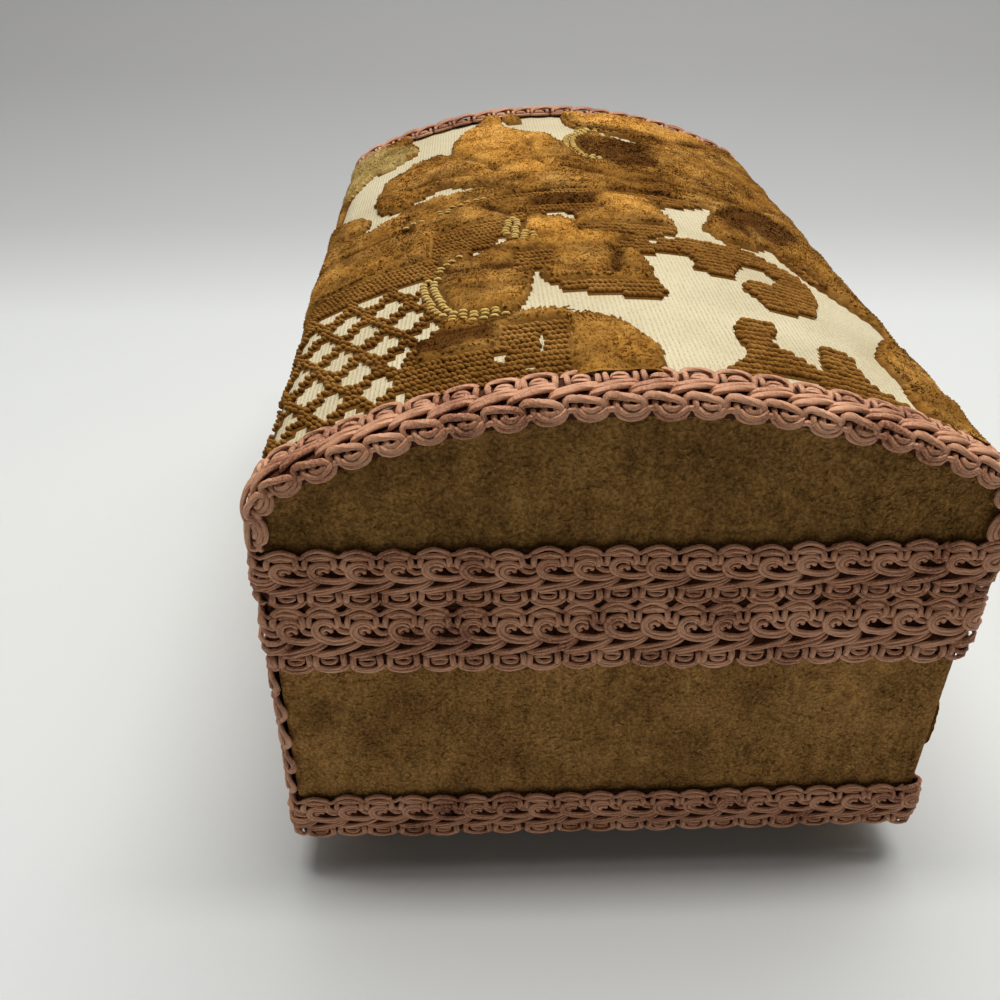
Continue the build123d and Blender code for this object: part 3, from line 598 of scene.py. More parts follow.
def backing(name, place, length, low, high, step=2.0):
    """A backing behind the cords; its dark colour is painted shade in the gaps between them."""
    along = np.linspace(0, length, int(length / step) + 1)
    grid = np.dstack([*crossed(along, np.linspace(low, high, 25))])
    s, v = grid[..., 0].ravel(), grid[..., 1].ravel()
    points = place(np.column_stack([s, v, np.full(s.size, 0.45)]))
    return mesh_piece(name, points.reshape(*grid.shape[:2], 3), None, [GIMP_BACK_SHADE], uv=grid * 0.01)


HINGE_LOW, HINGE_HIGH = box_mm("hinge_body_leaves")
HINGE_LONG = 22.0
HINGE_CLEAR_X, HINGE_CLEAR_Z, HINGE_FRONT = 0.9, 0.7, 58


def clears_hinges(points):
    """True for points that keep out of both hinges."""
    x, y, z = points.T
    off = np.abs(np.abs(x) - HINGE_HIGH[0] + HINGE_LONG / 2)
    near = (off < HINGE_LONG / 2 + HINGE_CLEAR_X) & (y > HINGE_FRONT)
    return not np.any(near & (z > HINGE_LOW[2] - HINGE_CLEAR_Z) & (z < HINGE_HIGH[2] + HINGE_CLEAR_Z))


def braid_round(node, body, low, high, hang=0.0):
    """Braid all round the box. Its cords are two pieces, so that no mesh grows too large."""
    place = band_place(low, high, hang)
    cords = braid_cords(AROUND, clear=lambda p: clears_hinges(place(p)))
    half = len(cords.points) // 2
    for k, part in enumerate((slice(half), slice(half, None))):
        put(cords.build(f"{node}_cords_{k}", place, GIMP, part), body, None if k else node)
    put(backing(node + "_back", place, AROUND, 1.6, 13.6), body)


braid_round("base_gimp", "case", BODY_LOW, BASE_BAND_TOP)
braid_round("body_rim_gimp", "case", RIM_BAND_LOW, BODY_HIGH)
braid_round("lid_rim_gimp", "lid", LID_BAND_LOW, LID_BAND_TOP, hang=1.6)


ARCH_REACH = cover_turn + cover_shoulder - LID_BAND_TOP
ARCH_EDGE = 1.3
# Places across the braid, and how far each lies before or past the start of the bend
ACROSS, BENT = (-1, 0, SCROLL_LINE, 17.9), (-9.1, -8.3, 1.8, 11.8)


def arch_place(side):
    """Carries (along, across, height) over one end of the lid. Across runs from the vault down the end."""
    middle = ARCH_EDGE + 1.0
    def place(p):
        y, z, ny, nz = cover_place(p[:, 0] - ARCH_REACH)
        t = np.interp(p[:, 1], ACROSS, BENT)
        angle = np.clip(t / middle, 0, math.pi / 2)
        over = np.clip(t - middle * math.pi / 2, 0, None)
        x = END_X - ARCH_EDGE + np.where(t < 0, t, ARCH_EDGE * np.sin(angle))
        n = np.where(t < 0, 0.0, ARCH_EDGE * (np.cos(angle) - 1) - over)
        x += np.sin(angle) * p[:, 2]
        n += np.cos(angle) * p[:, 2]
        return np.column_stack([side * x, y + ny * n, z + nz * n])
    return place


for side, node in ((1, "lid_arch_gimp_right"), (-1, "lid_arch_gimp_left")):
    over_edge = arch_place(side)
    cords = braid_cords(2 * ARCH_REACH, side > 0, EDGE_STROKES).build(node + "_cords", over_edge, GIMP)
    put(cords, "lid", node)
    put(backing(node + "_back", over_edge, 2 * ARCH_REACH, 0.9, 11.0, step=1.0), "lid")


CORNER_WIDTH, CORNER_IN = 12.8, 11.2


def corner_place(side):
    """Carries (along, across, height) onto the upright braid beside a front corner."""
    def place(p):
        t = p[:, 1] / CELL_WIDTH * CORNER_WIDTH - CORNER_IN
        angle = np.clip(t / EDGE_ROUND, 0, math.pi / 2)
        reach = EDGE_ROUND + p[:, 2]
        x = END_X - EDGE_ROUND + np.minimum(t, 0) + np.sin(angle) * reach
        y = -SIDE_Y + EDGE_ROUND + np.maximum(t - EDGE_ROUND * math.pi / 2, 0) - np.cos(angle) * reach
        return np.column_stack([side * x, y, BASE_BAND_TOP + p[:, 0]])
    return place


CORNER_RUN = CORNER_TOP - BASE_BAND_TOP
for side, node in ((1, "corner_gimps"), (-1, None)):
    beside = corner_place(side)
    cords = braid_cords(CORNER_RUN, side < 0).build(f"corner_gimp_cords_{side}", beside, GIMP)
    put(cords, "case", node)
    put(backing(f"corner_gimp_back_{side}", beside, CORNER_RUN, 1.6, 13.6, step=1.0), "case")


# Brocade: where the ivory ground shows between the pile, as outlines in (across, along) millimetres

GROUND_SHAPES = outlines("""
    4 92, 5 85, 5.5 81, 4 78, 2.5 74, 0.5 70, -2 67.5, -6 66, -9 64.3, -14 64, -20.5 62.8, -18 60.5, -16 58,
    -14.5 53, -14 48, -13.3 42.5, -12.3 41.8, -11.5 45, -10 49, -8 53, -4 54.8, -2 56.2, 2 56, 4 58, 9 57.8,
    11 54.5, 10.5 51, 9.7 48, 9.5 42, 8.7 38, 8.8 35, 11 33.5, 15 31.5, 18 30.8, 19.5 33, 20.7 36, 19.5 40,
    22 40.3, 24 42.5, 27 42.3, 28.2 39, 29 35.5, 31 32.3, 34 31.3, 36.5 33, 38 36, 37 40, 35 42, 33.5 42.5,
    31 41.2, 29 43, 28.3 47, 29.5 50, 30.5 53.5, 31.5 55.5, 35 56, 37.5 54.5, 40.5 53, 42 50, 43.7 46,
    45 41, 45 36, 44.2 31, 42 28, 39 26, 36.5 23, 33 20.8, 30 21, 26 21.3, 20 22.3, 16 23.8, 14.5 25.5,
    13.5 27.3, 11.5 27.3, 12 24.5, 14 23, 16 21, 18.5 20, 19.7 16, 20 13, 19 10, 18.5 5, 18.2 0.5, 21 -1.8,
    25 -3, 28 -5, 31 -7.5, 33.7 -8.8, 32.8 -5, 31.5 -1, 30.2 3, 28.6 7, 27.3 10.5, 28.5 13, 30 16.5,
    32.5 18.7, 36.5 18.7, 39 17, 41 15, 43.5 13, 44 17, 45 21.5, 46.5 26, 48.5 29.5, 51 32.5, 53.5 35.5,
    56 38, 61 42, 64 48, 61 52, 58 52, 55.5 55, 53 59.5, 51 63, 49.5 66, 50.5 70, 51 75, 50.2 80, 50 84,
    50.5 90, 46 86, 43 84.5, 41.5 82, 41 78, 41.3 73, 40.5 70.2, 38.5 69.3, 36 71, 34.8 75, 34 79,
    34.3 81.5, 33.5 82, 31.5 81, 29 77.5, 26.5 75, 26 72, 27.2 69.5, 28.7 66.5, 28.5 64.2, 24 64.2,
    22.5 65.2, 21 68.5, 20 72, 20.5 76, 20.7 80, 19 82.5, 17 84.5, 15.3 87, 14.5 92;
    21.5 92, 22 86.5, 25 85.5, 29 85.3, 31 86.5, 30.5 92;
    -58 -8, -54 -8, -49 -8.7, -45 -12, -41 -15, -36 -17, -31 -17, -26 -16, -21 -15.5, -18 -13, -15 -11,
    -13.5 -10, -14.5 -12, -17 -15, -20.5 -18, -24 -21, -28 -23.5, -31 -26, -35 -25, -38 -22.5, -41 -20.5,
    -43.5 -18, -46 -18.5, -48 -20, -50 -24, -51 -30, -51 -38, -49.5 -44, -47.5 -50, -44.5 -53, -41.5 -56,
    -38.5 -57.5, -36 -55.5, -32 -55, -30 -54.5, -30.5 -60, -30 -66, -28.5 -72, -26 -78, -23 -83, -20 -92,
    -43 -92, -44 -87, -42 -80, -41 -76, -41.5 -72, -44 -67.5, -47 -66, -49 -63.5, -52 -64, -55 -66, -57 -62,
    -60 -56, -64 -52, -66 -40, -64 -30, -59.5 -25, -57 -24, -54 -23, -52.5 -20, -52 -16, -52 -13.5,
    -57 -11.5;
    0.5 -54, -1 -57, -1.5 -61, -4 -65, -8 -68, -11 -71, -14.5 -75, -15.5 -80, -15.5 -92, -14.5 -87,
    -13 -82.5, -11 -81, -9 -81.5, -9.5 -92, 3 -92, 3.5 -80, 5 -76, 7 -73, 9.5 -70.5, 13 -71.5, 17 -70,
    20 -68.5, 23 -66, 27 -65.5, 29 -66, 27 -63.5, 22 -61, 19 -60.5, 16.5 -64, 14 -63, 12 -66.5, 10.5 -69.5,
    8 -68.5, 5 -64, 3.5 -60, 2.5 -55, 1.5 -52.5;
    -9 9, -8.5 12, -5 13, -3 15.5, -1.5 14, -1.5 9, -3 7, -8 7;
    -21 24.5, -19.5 26, -17.5 24, -17.5 20.5, -19.5 19.5, -20.7 21.5;
    -26.5 31.5, -24 31, -21.5 28.5, -20.5 26.5, -23 25.5, -25 26.5, -26 28.5;
    37.5 -33, 39.5 -33.5, 43 -33.5, 42.5 -37, 40.5 -39.5, 38 -36.5;
    46 -28, 50 -29.5, 51 -31.5, 48 -32;
    37 -48, 38.5 -45, 39 -46.5, 37 -52, 35.5 -53;
    -22 82.5, -20.5 83, -20 79, -22 78.5;
    -14.8 81, -13.2 81, -12.8 76, -13.2 72.8, -14.5 72.8;
    -18.5 84.5, -16 86, -15 84.5, -16 83.8
""")
LATTICE = outlines("""
    -75 92, -36 92, -37.5 83, -38 76, -37 70, -34 66.5, -31.5 63.5, -31.5 58, -33.5 54, -35 48, -35 42,
    -35 36, -45 36.5, -60 36, -75 34
""")
OLIVE_SHAPE = outlines("""
    -66 -52, -60 -56, -57 -62, -55 -66, -52 -64, -49 -63.5, -46 -66.5, -44.5 -69, -42 -71, -41 -75,
    -43.5 -78, -46 -81.5, -50 -84, -54 -92, -75 -92, -75 -60
""")
GOLD_LINES = outlines("""
    -20 63, -24 61.7, -27 60.5, -29.5 58.5, -31 55, -32 51, -33 47, -33.5 43, -33.2 40;
    -15.2 12.5, -15.8 16, -16.3 19.5, -14.8 22, -12.3 24.5;
    9.2 -37.5, 6 -40.5, 4.2 -44, 3.2 -50, 3.2 -56, 4.6 -61, 7 -65.5, 9.7 -69.5
""")
THIN_GOLD_LINES = outlines("""
    -40 3, -36 0, -33 0, -29 -2.5, -24 -5, -19 -6;
    -31 37.5, -29 34, -27.3 31.5
""")
# Where the pile is left as uncut loops, and the hollows between its lobes
LOOPED = outlines("""
    -80 94, -34 94, -36 66, -31 63, -30 56, -34 48, -32 33, -33 26, -62 27, -80 30;
    12 20, 33 20, 44 26, 47 40, 43 54, 35 58, 29 54, 27 45, 19 43, 17 32, 9 35, 4 32;
    14 94, 18 63, 30 63, 33 80, 38 68, 43 70, 44 84, 52 94;
    -40 90, -10 90, -9 68, -20 68, -21 76, -40 77;
    -12 60, 12 60, 12 50, 2 50.5, -10 49;
    -17 42, -9 42, -9 31, -17 33;
    -2 22.5, 20 22.5, 20 16, -2 16;
    -34 27, -14 27, -13 6, -34 12;
    -12 7.5, 4 7.5, 4 2, -12 2;
    -26 -3, -2 -5, 33 -2, 33 -8, -2 -9.5, -26 -7
""")
HOLLOWS = outlines("""
    -22 -1, -19 4, -12 7, -3 8, 4 5;
    -10 1.5, -4 2, 3 1;
    -12 -9.5, 0 -9.5, 8 -8, 20 -8.5, 33 -10;
    -4 -29, 0 -27, 5 -24, 12 -20, 19 -18.5, 28 -20, 38 -19, 46 -19, 53 -23;
    -8 -58, -9 -48, -7 -38, -4 -30;
    -28 -54, -25 -45, -20 -36, -18 -28;
    -42 -31, -34 -32, -26 -29;
    4 22, 9 24, 12 27;
    2 47, 4 38, 4 30, 8 27;
    -20 40, -14 38, -12 30;
    -30 37, -34 31, -36 27, -46 28, -60 28;
    -62 6, -50 5, -40 4;
    8 -73, 18 -74, 26 -69, 36 -72, 45 -78;
    -38 66, -28 66.5, -20 64.5;
    52 38, 46 22, 38 8, 36 -4, 44 -14
""")
# Where the cut pile is painted lighter, as painted sheen, and darker, as painted shade on the shaded sides of
# the leaves
PAINTED_SHEEN_PILE = outlines("""
    -30 -58, -26 -40, -19 -27, -8 -22, -2 -30, -6 -44, -1 -56, -10 -70, -17 -92, -25 -88;
    -19 30, 4 30, 2 24, 0 15, -14 14;
    6 -78, 18 -77, 34 -76, 46 -82, 50 -94, 5 -94;
    8 12, 17 10, 16 -3, 4 -6
""")
PAINTED_SHADE_PILE = outlines("""
    5 -38, 14 -30, 24 -33, 26 -50, 22 -61, 10 -62, 4 -50;
    32 8, 48 10, 56 -2, 50 -18, 38 -12, 34 -4;
    -36 75, -20 75, -22 67, -36 66;
    -12 1, 3 1, 6 -4, -10 -4
""")
DIAMOND_A, DIAMOND_X = 9.0, 17.0
ROW, KNOB = 2.0, 0.98
PILE_HIGH, PILE_GROW, PILE_SINK = 1.75, 2.0, 1.1


def inside(shapes, a, x):
    """Which points lie inside any of some outlines."""
    found = np.zeros(a.shape, dtype=bool)
    for shape in shapes:
        hit = np.zeros(a.shape, dtype=bool)
        for (a0, x0), (a1, x1) in zip(shape, np.roll(shape, -1, 0)):
            if x0 != x1:
                crosses = (x0 > x) != (x1 > x)
                hit ^= crosses & (a < (a1 - a0) * (x - x0) / (x1 - x0) + a0)
        found |= hit
    return found


def line_distance(lines, a, x):
    """Distance to the nearest of some lines."""
    best = np.full(a.shape, 99.0)
    for line in lines:
        p = curve_through(line, 5 * len(line))
        for (a0, x0), (a1, x1) in zip(p[:-1], p[1:]):
            da, dx = a1 - a0, x1 - x0
            t = unit(((a - a0) * da + (x - x0) * dx) / (da * da + dx * dx + 1e-9))
            best = np.minimum(best, np.hypot(a - a0 - t * da, x - x0 - t * dx))
    return best


def ground_shows(a, x):
    """True where the ivory ground shows, as its outlines and as the lattice of diamonds."""
    i, j = (a + 42.3) / DIAMOND_A, (x - 63.3) / DIAMOND_X
    shown = inside(GROUND_SHAPES, a, x)
    lattice = inside(LATTICE, a, x)
    for half in (0.0, 0.5):
        di, dj = (i - half) - np.round(i - half), (j - half) - np.round(j - half)
        shown |= lattice & (np.abs(di * DIAMOND_A) / 4.0 + np.abs(dj * DIAMOND_X) / 5.6 < 1.0)
    return shown


def blur(field, reach):
    """A field smoothed over some cells both ways."""
    weights = np.hanning(2 * reach + 3)[1:-1]
    weights /= weights.sum()
    out = np.pad(field.astype(float), reach + 1, mode="edge")
    for axis in (0, 1):
        out = np.apply_along_axis(lambda line: np.convolve(line, weights, "same"), axis, out)
    return out[reach + 1:-reach - 1, reach + 1:-reach - 1]


STEP = 0.3
CLOTH_A, CLOTH_X = 82.0, 100.0


def woven():
    """The pattern worked out once over the whole width and length of the cloth, as fields."""
    A, X = np.meshgrid(np.arange(-CLOTH_A, CLOTH_A, STEP), np.arange(-CLOTH_X, CLOTH_X, STEP))
    row = (np.floor(X / ROW) + 0.5) * ROW
    slip = 0.35 * noise(row * 7.3, 0 * row, 1.0, 9)
    gold = line_distance(GOLD_LINES, A, row)
    looped = np.where(inside(LOOPED, A, X), 1, 2)
    # Painted sheen and painted shade of the pile, from their outlines.
    shade = inside(PAINTED_SHEEN_PILE, A, X).astype(float) - inside(PAINTED_SHADE_PILE, A, X)
    return {
        "kind": np.where(ground_shows(A + slip, row), 0, np.where(gold < 1.8, 3, looped)),
        "gold": gold, "thin": line_distance(THIN_GOLD_LINES, A, row),
        "hollow": np.exp(-(line_distance(HOLLOWS, A, X) / 1.3) ** 2),
        "olive": inside(OLIVE_SHAPE, A, X), "shade": blur(shade, int(2.5 / STEP)),
    }


WOVEN = woven()


def field_at(name, a, x):
    field = WOVEN[name]
    i = np.clip(((x + CLOTH_X) / STEP).round().astype(int), 0, field.shape[0] - 1)
    j = np.clip(((a + CLOTH_A) / STEP).round().astype(int), 0, field.shape[1] - 1)
    return field[i, j]


class Brocade:
    """The woven pattern: ivory ground, looped and cut pile, gold stitches. place(a, x, h) carries it onto
    the box and pattern(a, x) says which part of the cloth lies there."""

    def __init__(self, name, area, place, body, node, pattern=lambda a, x: (a, x), seed=1):
        self.name, self.place, self.body, self.node, self.pattern = name, place, body, node, pattern
        self.a_low, self.a_high, self.x_low, self.x_high = area
        self.random = np.random.default_rng(seed)

    def kinds(self, a, x):
        """0 where the ground shows, 1 for loops, 2 for cut pile and 3 for gold stitches."""
        return field_at("kind", *self.pattern(a, x))

    def add(self, part, points, quads, materials, node=None, **looks):
        piece = mesh_piece(f"{self.name}_{part}", points, quads, materials, **looks)
        return put(piece, self.body, node)

    def mottle_and_painted_light(self, a, x):
        """How bright the cut pile lies, from about 0 to 1: random mottle, with painted sheen and painted
        shade inside their outlines.
        """
        shade = field_at("shade", a, x)
        return 0.5 + 0.26 * noise(a, x, 5.0, 21) + 0.18 * noise(a, x, 2.2, 22) + 0.55 * shade

    def pile_height(self, a, x, mottle_and_painted_light, hollow):
        lumps = 1 + 0.28 * noise(a, x, 5.5, 41)
        return PILE_HIGH * (0.84 + 0.14 * mottle_and_painted_light) * (1 - 0.62 * hollow) * lumps

    def cloth(self, pieces):
        """The ground with the cut pile standing on it."""
        step = 0.5
        az = np.linspace(self.a_low, self.a_high, int((self.a_high - self.a_low) / step))
        xs = np.linspace(self.x_low, self.x_high, int((self.x_high - self.x_low) / step))
        A, X = np.meshgrid(az, xs)
        kind = self.kinds(A, X)
        PA, PX = self.pattern(A, X)
        cut = kind == 2
        reach = int(round(1.6 / step))
        soft = blur(cut, reach)
        rounded = unit((soft - 0.45) / 0.55) ** 0.5
        hollow = field_at("hollow", PA, PX)
        mottle_and_painted_light = self.mottle_and_painted_light(PA, PX)
        high = self.pile_height(PA, PX, mottle_and_painted_light, hollow)
        fuzz = 0.13 * noise(A, X, 1.1, 61) + 0.10 * noise(A, X, 0.62, 71)
        fuzz = fuzz - 0.22 * (0.5 + 0.5 * noise(A, X, 6.0, 81)) * np.abs(np.cos(math.pi * X / ROW)) ** 6
        h = np.where(cut, rounded * (high + fuzz), 0.0)
        h = np.where((kind == 1) | (kind == 3), 0.2, h)
        # Tone darkens the pile in the hollows between lobes and where it rounds down at its edges: painted
        # shade.
        tone = np.clip(0.02 + 0.77 * mottle_and_painted_light - 0.45 * hollow, 0.04, 1.0) * (0.55 + 0.45 * rounded)
        # Under the loops and stitches the ground takes the dark groove colour: painted shade.
        tone = np.where(cut, tone, 0.12)
        olive = field_at("olive", PA, PX)
        points = self.place(A.ravel(), X.ravel(), h.ravel()).reshape(A.shape + (3,))
        look = np.where(kind == 0, 0, np.where(olive, 2, 1))
        look = np.maximum(np.maximum(look[:-1, :-1], look[1:, :-1]), np.maximum(look[:-1, 1:], look[1:, 1:]))
        uv = np.stack([X, A], -1)
        cuts = np.linspace(0, len(xs) - 1, pieces + 1).round().astype(int)
        for n, (i0, i1) in enumerate(zip(cuts[:-1], cuts[1:])):
            part = slice(i0, i1 + 1)
            self.add(f"cloth_{n}", points[part], None, [GROUND, PILE, OLIVE], None if n else self.node,
                     faces=look[i0:i1].ravel(), uv=uv[part], tone=tone[part].ravel())

    def loops(self):
        """Uncut loops: rows of slanted knobs like twisted cord."""
        rows = np.arange(math.ceil(self.x_low / ROW), math.floor(self.x_high / ROW))
        steps = np.arange(self.a_low + 0.6, self.a_high - 0.6, KNOB)
        A, X = np.meshgrid(steps, (rows + 0.5) * ROW)
        A = A + self.random.uniform(-0.5, 0.5, (len(rows), 1)) + self.random.normal(0, 0.05, A.shape)
        kind = self.kinds(A, X)
        edge = np.zeros(A.shape, bool)
        for da, dx in ((-1.5, 0), (1.5, 0), (0, ROW), (0, -ROW)):
            edge |= self.kinds(A + da, X + dx) == 0
        lively = noise(A, X, 9.0, 17) > -0.25
        here = (kind == 1) | ((kind == 2) & edge & lively)
        a, x = A[here], X[here]
        n = len(a)
        pa, px = self.pattern(a, x)
        turns = 8
        polar = np.radians([112, 80, 48, 20])
        around = np.arange(turns) * 2 * math.pi / turns
        sa = np.sin(polar)[:, None] * np.cos(around)[None]
        sx = np.sin(polar)[:, None] * np.sin(around)[None]
        sh = np.broadcast_to(np.cos(polar)[:, None], sa.shape)
        slant = np.radians(50) + self.random.normal(0, 0.12, (n, 1, 1))
        size = self.random.uniform(0.9, 1.1, (n, 1, 1))
        la, lx = 0.44 * size * sa, 1.02 * size * sx
        ka = a[:, None, None] + la * np.cos(slant) + lx * np.sin(slant)
        kx = x[:, None, None] - la * np.sin(slant) + lx * np.cos(slant)
        kx = kx + self.random.normal(0, 0.04, (n, 1, 1))
        kh = 0.45 + 0.62 * size * sh + self.random.normal(0, 0.05, (n, 1, 1)) - 0.12 * sx ** 2
        points = self.place(ka.ravel(), kx.ravel(), kh.ravel())
        top = np.arange(3 * turns, 4 * turns)
        cap = top[[[0, 1, 2, 3], [0, 3, 4, 7], [4, 5, 6, 7]]]
        one = np.vstack([ring_quads(4, turns), cap])
        # Each knob is darker towards its foot: painted shade; the rest of its tone varies at random.
        tone = self.random.uniform(0.82, 1.0, (n, 1, 1)) * np.clip(0.62 + 0.4 * sh[None], 0.1, 1.0)
        tone = np.broadcast_to(tone, (n, 4, turns)).ravel()
        faces = np.repeat(field_at("olive", pa, px).astype(int), len(one))
        self.add("loops", points, repeated(one, 4 * turns, n), [LOOPS, OLIVE], faces=faces, tone=tone)

    def tufts(self):
        """Cut pile: short leaning points of yarn."""
        per_mm = 3.5
        area = (self.a_high - self.a_low) * (self.x_high - self.x_low)
        count = int(area * per_mm)
        a = self.random.uniform(self.a_low + 0.5, self.a_high - 0.5, count)
        x = self.random.uniform(self.x_low + 0.5, self.x_high - 0.5, count)
        inner = self.kinds(a, x) == 2
        for da, dx in ((0.7, 0), (-0.7, 0), (0, 0.7), (0, -0.7)):
            inner &= self.kinds(a + da, x + dx) == 2
        a, x = a[inner], x[inner]
        n = len(a)
        pa, px = self.pattern(a, x)
        hollow = field_at("hollow", pa, px)
        mottle_and_painted_light = self.mottle_and_painted_light(pa, px)
        top = self.pile_height(pa, px, mottle_and_painted_light, hollow) + self.random.uniform(0.0, 0.22, n)
        lean = 0.35 * np.stack([noise(pa, px, 7.0, 31), noise(pa, px, 7.0, 32)])
        lean = lean + self.random.normal(0, 0.17, (2, n))
        spin = self.random.uniform(0, 2 * math.pi, n)
        wide = self.random.uniform(0.3, 0.5, n)
        rings = []
        for level, share, drift in ((top - 0.32, 1.0, 0.0), (top + 0.06, 0.03, 1.0)):
            for k in range(3):
                angle = spin + k * 2 * math.pi / 3
                rings.append(np.stack([a + drift * lean[0] + wide * share * np.cos(angle),
                                       x + drift * lean[1] + wide * share * np.sin(angle), level], -1))
        points = self.place(*np.stack(rings, 1).reshape(-1, 3).T)
        quads = repeated([[0, 1, 4, 3], [1, 2, 5, 4], [2, 0, 3, 5]], 6, n)
        # Tufts are darker in the hollows and a little darker at their feet: painted shade; the outlines add
        # painted sheen and shade.
        bright = np.clip(0.04 + 0.77 * mottle_and_painted_light - 0.45 * hollow + self.random.normal(0, 0.04, n), 0.04, 1)
        tone = (bright[:, None] * np.array([0.95, 0.95, 0.95, 1.0, 1.0, 1.0])).ravel()
        faces = np.repeat(field_at("olive", pa, px).astype(int), 3)
        halves = x < np.median(x)
        for k, half in enumerate((halves, ~halves)):
            keep = np.repeat(half, 3)
            used = quads[keep]
            kept = np.unique(used)
            index = np.searchsorted(kept, used)
            self.add(f"tufts_{k}", points[kept], index, [PILE, OLIVE], faces=faces[keep], tone=tone[kept],
                     smooth=False)

    def stitches(self):
        """Pairs of short bright stitches along the gold lines."""
        cords = Tubes(6)
        across = np.arange(self.a_low + 1, self.a_high - 1, 0.2)
        A, X = np.meshgrid(across, np.arange(self.x_low + 1, self.x_high - 1, 0.8 * ROW))
        PA, PX = self.pattern(A, X)
        bold = field_at("gold", PA, PX)
        thin = field_at("thin", PA, PX)
        for distance, reach, lift, thick in ((bold, 1.7, 0.75, 0.36), (thin, 0.8, 1.5, 0.26)):
            for row in range(len(A)):
                last = -99.0
                for a, x, d in zip(A[row], X[row], distance[row]):
                    if d > reach or a - last < 1.85:
                        continue
                    last = a
                    t = np.linspace(-0.82, 0.82, 6)
                    path = np.column_stack([a + t, x + 0.16 * t, lift + 0.3 * np.cos(t / 0.82 * 1.4)])
                    path[:, :2] += rng.normal(0, 0.08, 2)
                    cords.add(path, thick, thick, 0.8 + 0.2 * rng.random())
        if cords.points:
            cords = cords.build(self.name + "_stitches", lambda p: self.place(*p.T), GOLD)
            put(cords, self.body)

    def weave(self, pieces):
        self.cloth(pieces)
        self.loops()
        self.tufts()
        self.stitches()


pile_place, pile_turn, pile_shoulder = section(PILE_GROW)


def vault_place(a, x, h):
    y, z, ny, nz = pile_place(a)
    h = h - PILE_SINK
    return np.column_stack([x, y + ny * h, z + nz * h])


REPEAT = 182.0
VAULT_REACH = pile_turn + pile_shoulder - 78.5
VAULT = (-VAULT_REACH, VAULT_REACH, -REPEAT / 2, REPEAT / 2)
Brocade("lid_brocade", VAULT, vault_place, "lid", "lid_brocade_cover").weave(2)


WALL_Y = HALF_DEPTH + 0.9
WALL = (12.0, 63.0, -96.0, 96.0)


def wall_place(side):
    def place(a, x, h):
        return np.column_stack([x, side * (WALL_Y + h), a])
    return place


def wall_pattern(side):
    """The same cloth further along its length, turned where the repeat ends."""
    def pattern(a, x):
        return side * (a - 38.0) - 4.0, REPEAT / 2 - np.abs(np.mod(side * x + 157.0, 2 * REPEAT) - REPEAT)
    return pattern


for side, node in ((-1, "front_brocade"), (1, "back_brocade")):
    Brocade(node, WALL, wall_place(side), "case", node, wall_pattern(side), seed=3 + side).weave(1)


# Velvet ends

NAP_X = HALF_LENGTH + 1.0
FIBRES = 5200


def velvet_panel(side, outline, body, node, material):
    """A napped panel on one end of the box. outline(y) gives its low and high edge."""
    step = 0.6
    y = np.linspace(-SIDE_Y + 0.4, SIDE_Y - 0.4, int(2 * SIDE_Y / step))
    low, high = outline(y)
    rows = int(np.max(high - low) / step) + 1
    Y = np.broadcast_to(y, (rows, len(y)))
    Z = low + (high - low) * np.linspace(0, 1, rows)[:, None]
    h = 0.10 * noise(Y, Z, 22.0, 91) + 0.05 * noise(Y, Z, 6.0, 92) + 0.05 * noise(Y, Z, 1.4, 93)
    edge = unit((SIDE_Y - np.abs(Y)) / 1.2)
    points = np.dstack([side * (NAP_X + h - (1 - np.sqrt(edge))), Y, Z])
    quads = grid_quads(rows, len(y))
    if side < 0:
        quads = quads[:, ::-1]
    nap = mesh_piece(node + "_nap", points, quads, [material], uv=np.dstack([Y, Z]) * 0.01)
    put(nap, body, node)


def velvet_fibres(side, outline, body, node):
    """Loose fibres lying on the nap."""
    random = np.random.default_rng(23)
    y = random.uniform(-SIDE_Y + 1.5, SIDE_Y - 1.5, FIBRES)
    low, high = outline(y)
    z = low + (high - low) * random.uniform(0.02, 0.98, FIBRES)
    turn = random.normal(math.pi / 2, 1.0, FIBRES)
    long = random.uniform(0.4, 1.8, FIBRES)
    bend = random.normal(0, 0.6, FIBRES)
    rings = []
    for share in (-0.5, 0.0, 0.5):
        angle = turn + bend * share
        cy, cz = y + np.cos(angle) * long * share, z + np.sin(angle) * long * share
        lift = 0.14 + 0.06 * random.random(FIBRES) - 0.2 * abs(share)
        for edge in (-0.05, 0.05):
            x = side * (NAP_X + lift + edge)
            rings.append(np.stack([x, cy - np.sin(angle) * edge, cz + np.cos(angle) * edge], -1))
    quads = repeated([[0, 1, 3, 2], [2, 3, 5, 4]], 6, FIBRES)
    put(mesh_piece(node + "_fibres", np.stack(rings, 1), quads, [FIBRE]), body)


def lid_end_outline(y):
    a = np.linspace(0, cover_turn, 400)
    yy, zz, _, _ = cover_place(a)
    return np.full(y.shape, LID_BOTTOM), np.interp(np.abs(y), yy, zz) - 0.6


def body_end_outline(y):
    return np.full(y.shape, BODY_LOW), np.full(y.shape, BODY_HIGH)


for side, name in ((1, "right"), (-1, "left")):
    ends = ((body_end_outline, "case", f"{name}_end_velvet"), (lid_end_outline, "lid", f"lid_{name}_velvet"))
    for end, material in zip(ends, (VELVET, VELVET_LID_SHADED)):
        velvet_panel(side, *end, material)
    for end in ends:
        velvet_fibres(side, *end)


# Other parts keep their own shape and take a finish

